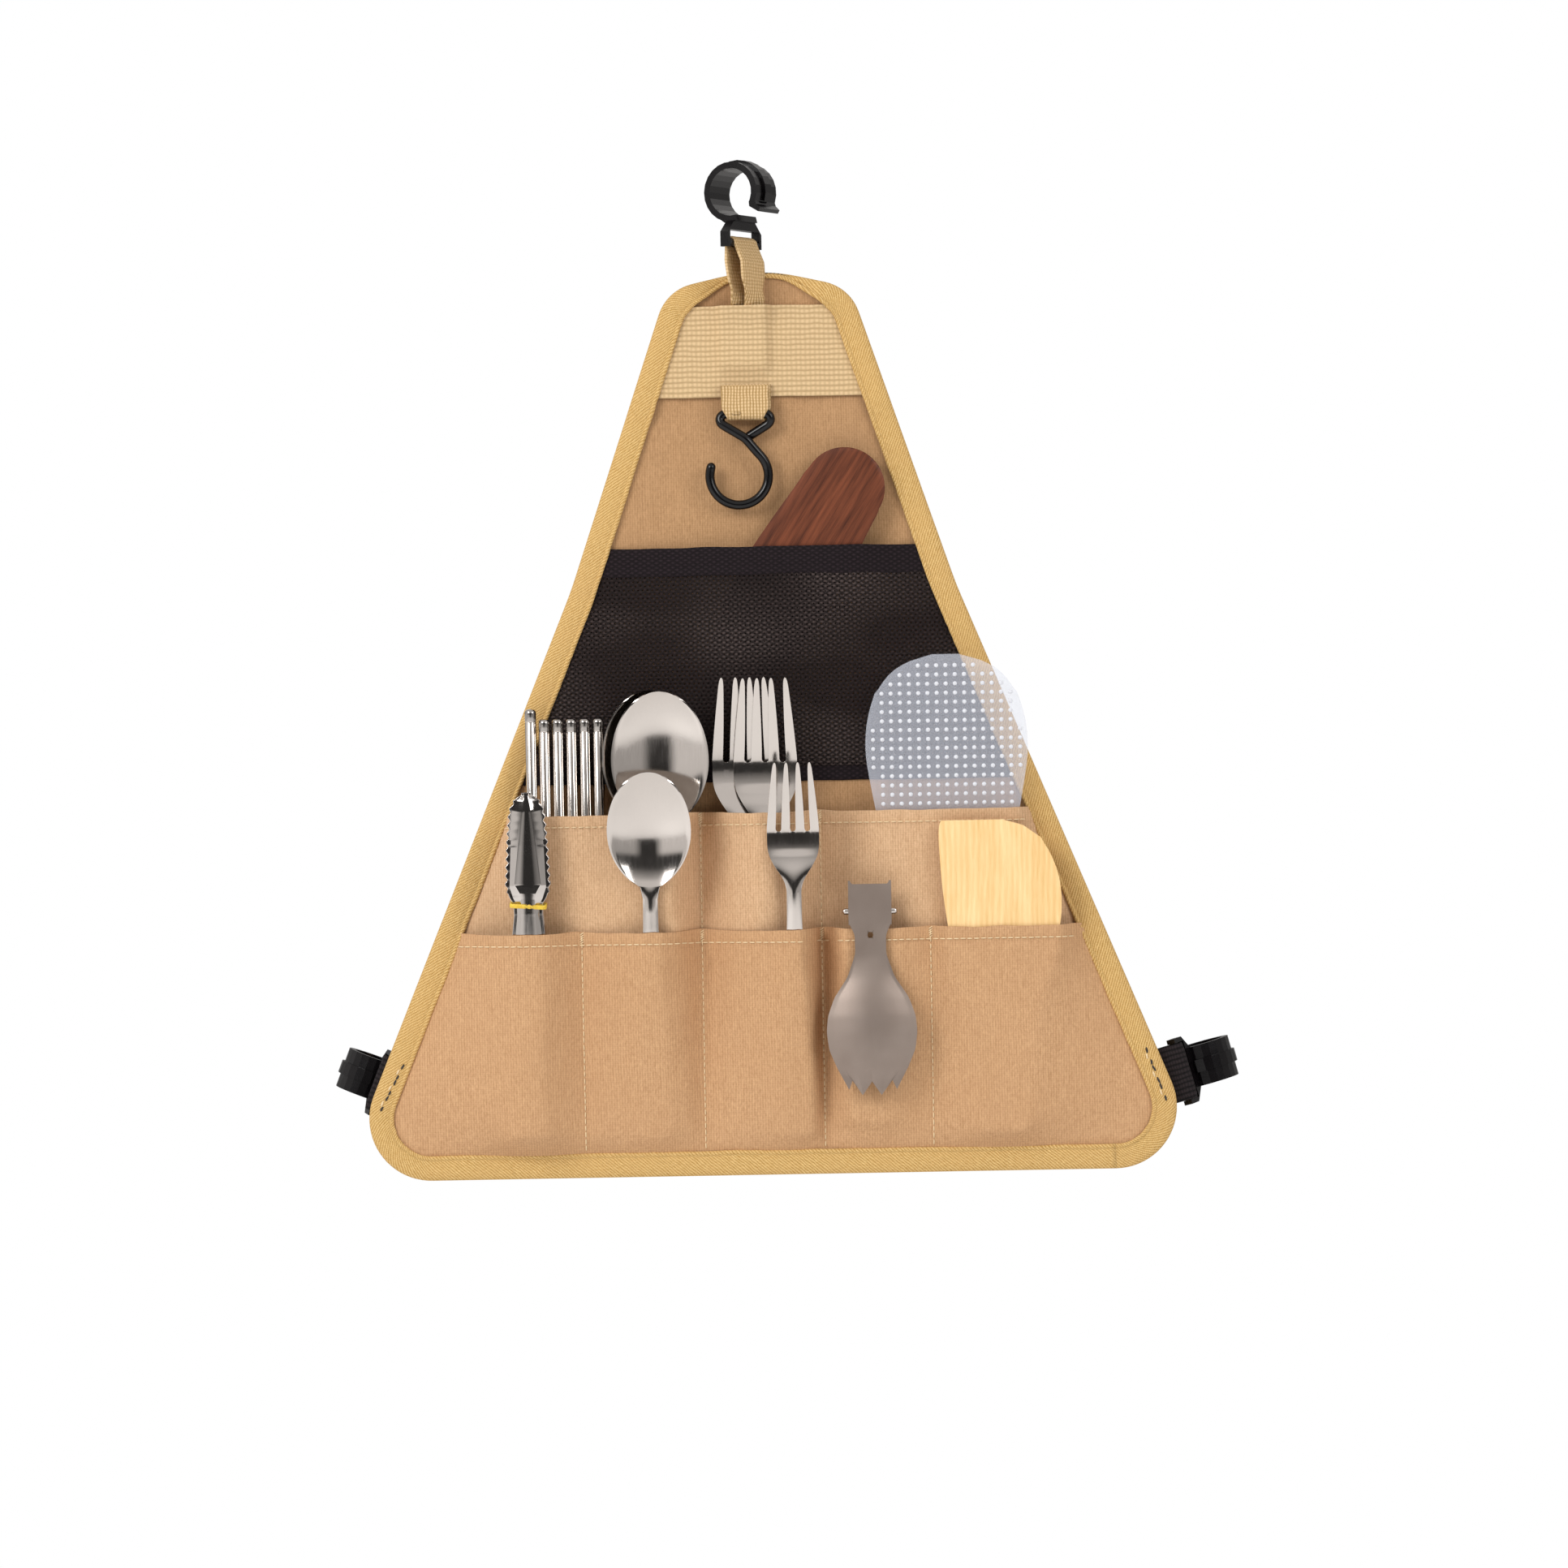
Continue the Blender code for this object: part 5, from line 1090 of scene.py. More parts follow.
def build_tongs():
    """One strip of steel: up the front arm, round the bend at the foot, and up the rear arm."""
    stand = Stand(-106.0, 20.2, 0.078)
    rows = tongs_rows()

    def line(row, side, lift):
        z, xs, sink, out = row
        return [(x, TONGS_MIDDLE + side * (out - s + lift), z) for x, s in zip(xs, sink)]

    def bend(angle, radius, row):
        y, z = TONGS_MIDDLE + radius * cos(angle), TONGS_BEND_Z - radius * sin(angle)
        return [(x, y - cos(angle) * s, z) for x, s in zip(row[1], row[2])]

    def skin(lift):
        grid = [line(row, 1, lift) for row in reversed(rows)]
        grid += [bend(pi * k / 12, TONGS_BEND_R + lift, rows[0]) for k in range(1, 12)]
        return np.array(grid + [line(row, -1, lift) for row in rows])

    grid_solid("tongs_steel", stand(skin(0.0)), stand(skin(-1.1)), TONG_STEEL, "tongs", "polished_steel",
               ["tongs"], bevel=0.12, sharp=28.0)
    build_band_of_rubber(stand)


def build_band_of_rubber(stand):
    """A flat rubber band round both arms, twisted over once in front."""
    wide, deep, at = 7.0, 6.9, 103.2
    twist_x, twist_reach = 0.8, 3.4
    corners = [(-wide, -deep, 1.4), (wide, -deep, 1.4), (wide, deep, 1.4), (-wide, deep, 1.4)]
    loop = resample(fillet(corners, step=10), 0.6)
    points, count = [], len(loop)
    section = [(cos(a), sin(a)) for a in np.arange(12) * pi / 6]
    for k in range(count):
        here = loop[k]
        way = loop[(k + 1) % count] - loop[k - 1]
        way /= np.linalg.norm(way)
        out = np.array([way[1], -way[0]])
        roll = 0.0
        if here[1] < 0 and abs(here[0] - twist_x) < twist_reach:
            roll = 2 * pi * smooth((here[0] - twist_x + twist_reach) / (2 * twist_reach))
        push = 0.6 + 0.7 * abs(sin(roll))
        for a, b in section:
            tall, thick = 0.95 * np.sign(a) * abs(a) ** 0.5, 0.5 * np.sign(b) * abs(b) ** 0.5
            rise = tall * cos(roll) - thick * sin(roll)
            away = tall * sin(roll) + thick * cos(roll) + push
            slant = 0.5 * (here[0] / wide)
            points.append((here[0] + out[0] * away, TONGS_MIDDLE + here[1] + out[1] * away,
                           at + rise - slant))
    last = (count - 1) * 12
    joined = [(last + j, last + (j + 1) % 12, (j + 1) % 12, j) for j in range(12)]
    piece("tongs_band_rubber", stand(points), grid_faces(count, 12, wrap=True) + joined, RUBBER, "tongs",
          "yellow_rubber", ["tongs_band"])


# Folding spork: its head is measured from the pin that it swings on
SPORK_PIN = np.array([51.5, -7.518, -318.4])
SPORK_L = 81.0
TOOTH_ROOT = -69.0
TOOTH_L = 12.0
EAR_HALF = 9.5
RIVET_Z = -10.5
RIVET_R = 1.3
RIVET_ROWS = [RIVET_Z + d for d in (1.3, 0.65, 0.0, -0.65, -1.3)]
RIVET_COLUMNS = [-0.19, -0.095, 0.0, 0.095, 0.19]


def build_spork_handle():
    """Bent wire in the pocket, with its ends turned outward through the head's ears."""
    slope, pin_reach, leg, bend = 0.0747, 10.9, 6.3, 7.0
    pin_z = 98.0 / cos(atan(slope))
    foot = pin_z - 92.0
    half = [(pin_reach, pin_z, 0), (leg, pin_z, 1.6), (bend, foot, 5.0)]
    flat = fillet(half + [(-x, z, r) for x, z, r in reversed(half)], closed=False, step=10)
    path = smooth_path([(p.x, 0.0, p.y) for p in flat], 0.9)
    wire_piece("spork_handle_wire", Stand(44.3, 8.2, slope)(path), 1.4 * MM, 16, STEEL, "spork_handle",
               "titanium", "spork_handle")


def build_spork_head():
    """The head hangs over the pocket's mouth with the back of its bowl in front."""
    met = foremost(search_tree([frame["nodes"]["spork_head"]]), 44.3, 101.0)
    back = SPORK_PIN[1] - met.y / MM
    neck, bowl = 6.85, 20.0
    stops = [(0.0, EAR_HALF, 0), (0.06, EAR_HALF, 0), (0.128, neck, 0), (0.235, neck, 0)]
    stops += [(s, h * bowl, hollow) for s, h, hollow in
              ((0.358, 0.52, 0.3), (0.469, 0.82, 0.7), (0.568, 0.965, 0.95), (0.654, 1.0, 1.0),
               (0.753, 0.95, 0.92), (0.852, 0.78, 0.7), (1.0, 0.525, 0.3))]
    heights = np.concatenate([[12.0, 11.7], np.arange(11.0, -8.6, -1.0), RIVET_ROWS,
                              np.arange(-12.6, TOOTH_ROOT, -0.9),
                              TOOTH_ROOT - TOOTH_L * np.linspace(0.06, 1.0, 12)])
    dense = np.arange(0.0, 1.001, 0.01)
    half_line = easy_curve([(s, h) for s, h, _ in stops], dense, 3)
    hollow_line = easy_curve([(s, h) for s, _, h in stops], dense, 8)
    teeth = [(-1.0, 0.03), (-0.857, 0.08), (-0.438, 0.0), (-0.038, 0.074), (0.36, 0.0), (0.82, 0.08),
             (1.0, 0.03)]
    shares = np.array(sorted(set(np.round(np.concatenate([
        np.linspace(-1, 1, 41), RIVET_COLUMNS, [s for s, _ in teeth], [-0.64, -0.24, 0.16, 0.59]]), 3))))
    ends = along(teeth, shares)
    front = np.zeros((len(heights), len(shares), 3))
    behind = front.copy()
    for i, z in enumerate(heights):
        share = max(0.0, -z / SPORK_L)
        half = float(np.interp(share, dense, half_line))
        hollow = float(np.interp(share, dense, hollow_line))
        for j, x in enumerate(shares):
            low = z
            if z < TOOTH_ROOT:
                low = TOOTH_ROOT + (z - TOOTH_ROOT) * (TOOTH_L - ends[j] * SPORK_L) / TOOTH_L
            if z > 10.9:
                low = z + 1.5 * smooth((abs(x) - 0.8) / 0.15)
            rim = 0.35 * (1 - smooth((1 - abs(x)) / 0.12)) * smooth((-z - 15) / 20)
            y = -back - 5.2 * hollow * (1 - x * x) - rim
            front[i, j] = (half * x, y, low)
            behind[i, j] = (half * x, y + 1.0, low)
    rows = [int(np.argmin(abs(heights - z))) for z in RIVET_ROWS]
    columns = [int(np.argmin(abs(shares - s))) for s in RIVET_COLUMNS]
    for grid in (front, behind):
        for a, i in enumerate(rows):
            for b, j in enumerate(columns):
                if max(abs(a - 2), abs(b - 2)) == 2:
                    angle = atan2(2 - a, b - 2)
                    grid[i, j, 0] = RIVET_R * cos(angle)
                    grid[i, j, 2] = RIVET_Z + RIVET_R * sin(angle)
    grid_solid("spork_head_plate", (front + SPORK_PIN) * MM, (behind + SPORK_PIN) * MM, TITANIUM,
               "spork_head", "titanium", ["spork_head"], bevel=0.18,
               keep=lambda i, j: not (rows[0] <= i < rows[-1] and columns[0] <= j < columns[-1]))
    build_spork_ears(back)


def build_spork_ears(back):
    """Rounded ears folded back from the head, one at each side, that the wire's ends go through."""
    for side in (-1, 1):
        zs = np.linspace(-6.0, 13.5, 22)
        deep = np.array([2.9 * sqrt(max(0.0, 1 - ((z - 1.0) / 7.4) ** 2)) + 0.9 for z in zs])
        outer = np.array([[(side * EAR_HALF, -back + 0.3, z), (side * EAR_HALF, -back + 0.3 + d, z)]
                          for z, d in zip(zs, deep)])
        faces = [(grid + SPORK_PIN) * MM for grid in (outer, outer - np.array([side * 1.0, 0, 0]))]
        grid_solid(f"spork_ear_{side}", *faces[::side], TITANIUM, "spork_head", "titanium", (), bevel=0.15)


build_chopsticks()
build_cutlery()
build_paddle()
build_turner()
build_spatula()
build_tongs()
build_spork_handle()
build_spork_head()


# Band across the top, pushed out where the hanger strap is sewn behind it
STRAP_U = -7.0
BAND_FOOT = 344.6
BAND_TOP = 385.0


def band_depth(u, v):
    """The webbing stands out over the strap behind it, and most where the strap comes out on top."""
    across = 1 - smooth((abs(u - STRAP_U) - 9.0) / 5.0)
    up = smooth((v - 352.0) / 8.0)
    lift = 3.4 + 2.6 * smooth((v - 374.0) / 11.0)
    cloth = 0.25 * noise_at(u / 13.0, v / 13.0, 8)
    return 1.5 + lift * across * up + cloth * (1 - across)


def build_band():
    """Webbing from tape to tape, a little uneven along its edges."""
    vs = np.concatenate([[BAND_FOOT, BAND_FOOT + 0.3], np.arange(BAND_FOOT + 1.2, BAND_TOP - 1, 1.4),
                         [BAND_TOP - 0.3, BAND_TOP]])
    us, heights = across_panel(vs, 81, 2.5)
    heights = heights + over_grid(lambda u, v: 0.35 * noise_at(u / 24.0, 3.0, 9), us, heights)
    depth = over_grid(band_depth, us, heights)
    uv = np.stack([us, heights], axis=-1) * MM
    obj = piece("top_band_webbing", spots(us, heights, depth), grid_faces(*us.shape), BAND_WEBBING,
                "bag", "beige_webbing", ["top_band"], uv=uv)
    thicken(obj, 1.1)


# Pockets
UPPER_MOUTH = 161.0
LOWER_MOUTH = 109.0
UPPER_SEAMS = (-30.0, 23.0)
LOWER_SEAMS = (-83.0, -30.0, 23.0, 71.0)
HEM = 6.4
POCKET_MARGIN = 1.6


def seam_distance(u, v, seams):
    """How far it is sideways to the nearest seam or to the tape."""
    side = half_width(v, TAPE_W)
    return min([abs(u - s) for s in seams] + [abs(abs(u) - side)])


class Field:
    """Depth over the bag, read between the places of an even grid."""

    def __init__(self, low, high, step):
        self.us = np.arange(-192.0, 192.1, step)
        self.vs = np.arange(low, high + step, step)
        self.step = step
        self.grid_u, self.grid_v = np.meshgrid(self.us, self.vs)
        inside = np.array([half_width(v, 3.0) for v in self.vs])
        self.clipped = np.clip(self.grid_u, -inside[:, None], inside[:, None])
        self.depth = np.zeros(self.grid_u.shape)

    def fronts(self, bodies, missing):
        """Foremost face of what rides on some bodies, or the missing depth where there is none."""
        parents = [frame["bodies"][body] for body in bodies]
        tree = search_tree([obj for obj in bpy.data.objects
                            if obj.type == "MESH" and obj.parent in parents])
        depth = np.full(self.depth.shape, missing)
        for at in np.ndindex(depth.shape):
            met = foremost(tree, self.clipped[at], self.grid_v[at])
            if met is not None:
                depth[at] = max(depth[at], PANEL_SETBACK - met.y / MM)
        return depth

    def at(self, u, v):
        """Depth at any place."""
        x = min(max((u - self.us[0]) / self.step, 0.0), len(self.us) - 1.001)
        y = min(max((v - self.vs[0]) / self.step, 0.0), len(self.vs) - 1.001)
        i, j = int(y), int(x)
        a, b = y - i, x - j
        rows = self.depth[i:i + 2, j:j + 2]
        return float((1 - a) * ((1 - b) * rows[0, 0] + b * rows[0, 1])
                     + a * ((1 - b) * rows[1, 0] + b * rows[1, 1]))


UNDER_TAPE = TAPE_W - 0.6
PULLS = 900
PULL_ACROSS = 0.36
PULL_UP = 0.14


def drawn_tight(field, inside, base, seams, clearance, foot=UNDER_TAPE):
    """Cloth pulled tight over what stands behind it, and held down at its seams and under the tape.

    Each pull moves every place to a mean of its four neighbours, but never into what is behind it.
    """
    obstacle = field.fronts(inside, -50.0) + clearance
    for axis in (0, 1):
        obstacle = np.maximum(obstacle, np.maximum(np.roll(obstacle, 1, axis), np.roll(obstacle, -1, axis)))
    obstacle = np.maximum(obstacle, base)
    held = np.zeros(field.depth.shape, dtype=bool)
    for i, v in enumerate(field.vs):
        held[i] = np.abs(field.us) > half_width(v, UNDER_TAPE)
        if v < foot:
            held[i] = True
    for seam in seams:
        held |= np.abs(field.grid_u - seam) < 0.55 * field.step
    depth = obstacle.copy()
    depth[held] = base[held]
    for _ in range(PULLS):
        spread = PULL_ACROSS * (np.roll(depth, 1, 1) + np.roll(depth, -1, 1))
        above = np.vstack([depth[1:], depth[-1:]])
        below = np.vstack([depth[:1], depth[:-1]])
        spread += PULL_UP * (above + below)
        depth = np.maximum(spread, obstacle)
        depth[held] = base[held]
    return depth


UPPER_INSIDE = [f"chopstick_{k}" for k in range(1, 7)] + ["table_spoon_rear", "table_spoon_front",
                "table_fork_rear", "table_fork_front", "rice_paddle"]
LOWER_INSIDE = ["tongs", "dessert_spoon", "dessert_fork", "spork_handle", "bamboo_turner"]


def pocket_depth(field, u, v, near, mouth, seams, seed):
    """Depth of the finished pocket cloth: creases, puckers along the seams, the hem and the stitch lines."""
    free = smooth(near / 9.0)
    drop = smooth((v - 10.5) / 10.0)
    crease = noise_at(u / 12.0, v / 50.0, seed) + 0.4 * noise_at(u / 6.0, v / 22.0, seed + 1)
    pucker = noise_at(u / 11.0, v / 4.6, seed + 2) * smooth(near / 2.0) * smooth((12.0 - near) / 9.0)
    depth = field.at(u, v) + (0.3 * crease * free + 0.22 * pucker) * drop
    above_hem = v - mouth + HEM
    depth += 0.3 * smooth((above_hem + 0.25) / 0.5)
    depth -= 0.28 * max(0.0, 1 - abs(above_hem - 0.9) / 1.6)
    depth -= 0.25 * max(0.0, 1 - min(abs(u - s) for s in seams) / 0.8) * drop
    inside_tape = min(half_width(v, TAPE_W) - abs(u), v - TAPE_W)
    return depth - 0.7 * max(0.0, 1 - abs(inside_tape - 0.2) / 1.8)


def pocket_piece(name, node, field, mouth, seams, seed, cloth):
    """Pocket sheet, finer at its seams and hem; its mouth sags between the seams."""
    sag_reach = 30.0
    widest = max(half_width(v, POCKET_MARGIN) for v in range(3, 60, 3))
    columns = set(np.round(np.arange(-widest, widest, 1.6), 2))
    for s in seams:
        columns -= {c for c in columns if abs(c - s) < 1.3}
        columns |= {s - 1.1, s - 0.5, s, s + 0.5, s + 1.1}
    columns = np.array(sorted(columns))
    vs = np.concatenate([np.arange(3.0, mouth - HEM - 1.2, 1.7),
                         mouth + np.array([-HEM - 0.7, -HEM - 0.25, -HEM + 0.1, -HEM + 0.5, -4.6, -3.0,
                                           -1.6, -0.7, -0.2, 0.0])])
    us = np.array([np.clip(columns, -side, side) for side in (half_width(v, POCKET_MARGIN) for v in vs)])
    heights = np.repeat(vs[:, None], len(columns), axis=1)
    depth = np.zeros(us.shape)
    for index in np.ndindex(us.shape):
        u, v = us[index], heights[index]
        near = seam_distance(u, v, seams)
        depth[index] = pocket_depth(field, u, v, near, mouth, seams, seed)
        sag = -0.7 * smooth(near / 14.0) + 0.4 * noise_at(u / 9.0, 0.0, seed + 3)
        heights[index] += sag * smooth((v - mouth + sag_reach) / sag_reach)
    obj = piece(name, spots(us, heights, depth), grid_faces(*us.shape), cloth, "bag", "canvas",
                [node], merge=0.01)
    thicken(obj, 0.7)
    return obj


def build_pockets():
    """Both canvas sheets; the lower one lies on the upper one where nothing stands between them."""
    low, step, clearance, ply = 2.0, 1.7, 0.95, 1.35
    upper = Field(low, UPPER_MOUTH + 1, step)
    base = np.full(upper.depth.shape, 1.05)
    upper.depth = blurred(drawn_tight(upper, UPPER_INSIDE, base, UPPER_SEAMS, clearance), 1, 1)
    first = pocket_piece("upper_pocket_canvas", "upper_pocket", upper, UPPER_MOUTH, UPPER_SEAMS, 20,
                         UPPER_CANVAS_LIT)
    lower = Field(low, LOWER_MOUTH + 1, step)
    base = upper.depth[:len(lower.vs)] + ply
    lower.depth = blurred(drawn_tight(lower, LOWER_INSIDE, base, LOWER_SEAMS, clearance), 1, 1)
    second = pocket_piece("lower_pocket_canvas", "lower_pocket", lower, LOWER_MOUTH, LOWER_SEAMS, 30,
                          LOWER_CANVAS)


# Net pocket: hexagonal knit with real holes, and a ribbed binding folded over each end
NET_FOOT = 174.0
NET_FOOT_HEM = 8.0
NET_MOUTH = 278.0
NET_MOUTH_HEM = 12.6
NET_MARGIN = 2.2


def net_depth(field, u, v):
    """The net's depth, with slanting soft folds that stand forward."""
    fold = max(0.0, noise_at((u + v) / 34.0, (u - v) / 60.0, 13))
    return field.at(u, v) - 0.35 + 0.3 * noise_at(u / 18.0, v / 30.0, 12) + 1.3 * fold


def build_net(field):
    """Each cell is a hexagon with a smaller hexagonal hole; neighbours share their corners."""
    pitch = 2.1
    rise = pitch * sqrt(3) / 2
    hole = 0.3
    low, high = NET_FOOT + NET_FOOT_HEM - 0.6, NET_MOUTH - NET_MOUTH_HEM + 0.6
    places, faces, index = [], [], {}
    corner_r = pitch / sqrt(3)
    turns = [radians(90 + 60 * k) for k in range(6)]
    for row in range(int((high - low) / rise) + 1):
        v = low + row * rise
        side = half_width(v, NET_MARGIN)
        count = int(side / pitch) + 1
        for k in range(-count, count + 1):
            u = (k + 0.5 * (row % 2)) * pitch
            if abs(u) > side:
                continue
            outer, inner = [], []
            for a in turns:
                x, y = u + corner_r * cos(a), v + corner_r * sin(a)
                key = (round(x * 20), round(y * 20))
                if key not in index:
                    index[key] = len(places)
                    places.append((x, y))
                outer.append(index[key])
                inner.append(len(places))
                places.append((u + hole * corner_r * cos(a), v + hole * corner_r * sin(a)))
            for n in range(6):
                m = (n + 1) % 6
                faces.append((outer[n], outer[m], inner[m], inner[n]))
    points = [tuple(spot(u, v, net_depth(field, u, v))) for u, v in places]
    obj = piece("net_cloth", points, faces, NET, "bag", "black_mesh", ["mesh_pocket"])
    thicken(obj, 0.3)
    return obj


def net_hem(field, name, node, low, high, seed):
    """Ribbed binding with eased edges, pressed in where its stitches run."""
    vs = np.concatenate([[low, low + 0.2], np.arange(low + 0.8, high - 0.6, 0.9), [high - 0.2, high]])
    us, heights = across_panel(vs, 141, NET_MARGIN)
    depth = np.zeros(us.shape)
    for at in np.ndindex(us.shape):
        u, v = us[at], heights[at]
        edge = min(v - low, high - v)
        round_off = 0.4 * (1 - smooth(edge / 0.8))
        stitched = 0.3 * exp(-((v - low - 3.8) / 0.6) ** 2)
        depth[at] = field.at(u, v) + 0.05 - round_off - stitched + 0.16 * noise_at(u / 8.0, v / 3.0, seed)
        heights[at] += 0.4 * noise_at(u / 17.0, 1.0, seed + 1)
    obj = piece(name, spots(us, heights, depth), grid_faces(*us.shape), NET_BINDING, "bag",
                "black_mesh", [node])
    thicken(obj, 0.8)
    2 * half_width(low) + 4


def build_net_pocket():
    """The net drawn tight over the walnut spatula, and its two bindings over the same shape."""
    field = Field(NET_FOOT + 0.1, NET_MOUTH - 1.0, 1.9)
    base = np.full(field.depth.shape, 1.1)
    field.depth = drawn_tight(field, ["walnut_spatula"], base, (), 1.5, NET_FOOT + 7.0)
    net = build_net(field)
    net_hem(field, "net_mouth_binding", "mesh_hem", NET_MOUTH - NET_MOUTH_HEM, NET_MOUTH, 14)
    net_hem(field, "net_foot_binding", "mesh_bottom_hem", NET_FOOT, NET_FOOT + NET_FOOT_HEM, 17)


build_band()
build_pockets()
build_net_pocket()


# Strap, tabs and hook
def ribbon(name, centres, acrosses, normals, columns, material, slot, node, thickness, wobble):
    """A flat band along a path: world mm centres, half-width vectors and outward normals."""
    centres, acrosses, normals = (np.array(a, dtype=float) for a in (centres, acrosses, normals))
    shares = np.linspace(-1, 1, columns)
    reach = distances(centres)
    grid = centres[:, None, :] + acrosses[:, None, :] * shares[None, :, None]
    lift = np.array([[-0.35 * abs(x) ** 10 + wobble * noise_at(s / 9.0, 2 * x, 61) for x in shares]
                     for s in reach])
    grid = grid + normals[:, None, :] * lift[..., None]
    width = np.linalg.norm(acrosses, axis=1)
    lengths = np.repeat(reach[:, None], columns, axis=1)
    uv = np.stack([lengths, width[:, None] * shares[None, :]], axis=-1) * MM
    obj = piece(name, grid * MM, grid_faces(*grid.shape[:2]), material, "bag", slot, [node], uv=uv)
    thicken(obj, thickness)
    return obj


# The strap's depth, and where the middle of each of its plies is across the bag
STRAP_FOOT = 357.0
BAR_V = 412.0
STRAP_DEPTHS = [(357.0, 2.6), (378.0, 2.9), (385.0, 4.7), (390.0, 7.6), (398.0, 9.6), (405.0, 9.0),
                (412.0, 8.0)]
FRONT_PLY = [(357.0, -5.5), (380.0, -2.6), (388.0, -1.3), (404.0, -1.6), (412.0, -4.62)]
BACK_PLY = [(357.0, -8.5), (380.0, -8.0), (388.0, -8.1), (404.0, -10.0), (412.0, -9.78)]


def build_strap():
    """Up one ply, over the clip's bar and down the other, turning to the bar on the way."""
    turn = radians(61.0)
    loop = 2.95

    def station(v, side):
        """Middle, half width and outward way of the front or back ply at a height."""
        angle = turn * smooth((v - 380.0) / 13.0)
        wide = 4.6 + 5.4 * smooth((v - 384.0) / 14.0)
        line = FRONT_PLY if side > 0 else BACK_PLY
        free, closing = smooth((v - 380.0) / 14.0), smooth((v - 404.0) / 8.0)
        gap = (0.75 + 0.7 * free) * (1 - closing) + 1.43 * closing
        depth = along(STRAP_DEPTHS, v) + side * gap
        out = np.array([sin(angle), -cos(angle), 0.0])
        return (spot_mm(along(line, v), v, depth),
                wide * np.array([cos(angle), sin(angle), 0.0]), side * out)

    vs = np.concatenate([np.arange(STRAP_FOOT, BAR_V - 0.5, 1.1), [BAR_V]])
    rows = [station(v, 1) for v in vs]
    top = rows[-1]
    middle = spot_mm(HANG_U, BAR_V, PANEL_SETBACK)
    for k in range(1, 12):
        angle = pi * k / 12
        radial = top[2] * cos(angle) + np.array([0.0, 0.0, sin(angle)])
        rows.append((middle + radial * loop, top[1], radial))
    rows += [station(v, -1) for v in vs[::-1]]
    obj = ribbon("hanger_strap_webbing", *zip(*rows), 15, STRAP_WEBBING, "beige_webbing", "hanger_strap",
                 1.05, 0.18)


TAB_U = -6.7
TAB_TOP = 350.0
HOOK_BAR = 337.0
HOOK_R = 2.1
HOOK_DEPTH = 5.1


def build_tab():
    """A short loop sewn on the band, that narrows where it goes round the wire."""
    loop = HOOK_R + 0.75
    behind, before = 2.6, 4.0
    path = [(v, behind + (HOOK_DEPTH - loop - behind) * smooth((TAB_TOP - v) / 13.0))
            for v in np.arange(TAB_TOP, HOOK_BAR, -0.9)]
    path += [(HOOK_BAR - loop * sin(a), HOOK_DEPTH - loop * cos(a)) for a in np.linspace(0.0, pi, 13)]
    path += [(v, HOOK_DEPTH + loop + (before - HOOK_DEPTH - loop) * smooth((v - 340.0) / 10.0))
             for v in np.arange(HOOK_BAR, TAB_TOP + 0.3, 0.9)]
    centres, halves, normals = [], [], []
    for i, (v, depth) in enumerate(path):
        last, following = path[max(i - 1, 0)], path[min(i + 1, len(path) - 1)]
        way = np.array([0.0, last[1] - following[1], following[0] - last[0]])
        way /= np.linalg.norm(way)
        half = 10.5 - 2.6 * smooth((340.5 - v) / 6.5)
        aside = 0.0 if i > len(path) / 2 else 0.8
        centres.append(spot_mm(TAB_U + aside, v, depth))
        halves.append(np.array([half, 0.0, 0.0]))
        normals.append(np.cross(way, (1.0, 0.0, 0.0)))
    obj = ribbon("hook_tab_webbing", centres, halves, normals, 17, STRAP_WEBBING, "beige_webbing",
                 "hook_tab", 0.85, 0.1)


def build_hook():
    """Wire hook: a closed eye at the top, crossing itself, then an open loop below."""
    half, cross_u, cross_v = 18.0, TAB_U - 0.2, HOOK_BAR - 11.0
    loop_u, loop_v, loop_r = -9.9, 309.5, 13.0
    eye = fillet([(cross_u + 0.6, cross_v + 0.4, 0), (TAB_U + half, HOOK_BAR, 2.6),
                  (TAB_U - half, HOOK_BAR, 2.6), (cross_u, cross_v, 0)], closed=False, step=10)
    bend = [Vector((loop_u + loop_r * cos(a), loop_v + loop_r * sin(a)))
            for a in map(radians, range(48, -200, -6))]
    flat = [tuple(p) for p in eye + bend]
    step_out = HOOK_R + 0.15
    path = []
    for i, (u, v) in enumerate(flat):
        near = smooth(1 - abs(v - cross_v) / (HOOK_BAR - cross_v - 1))
        first = i < len(eye) / 2
        out = (-step_out if first else step_out) * near
        if not first and v < cross_v:
            out = step_out * smooth((v - loop_v) / (cross_v - loop_v))
        path.append(spot_mm(u, v, HOOK_DEPTH + out))
    wire_piece("s_hook_wire", smooth_path(path, 0.8) * MM, HOOK_R * MM, 20, WIRE, "s_hook", "coated_wire",
               "s_hook")


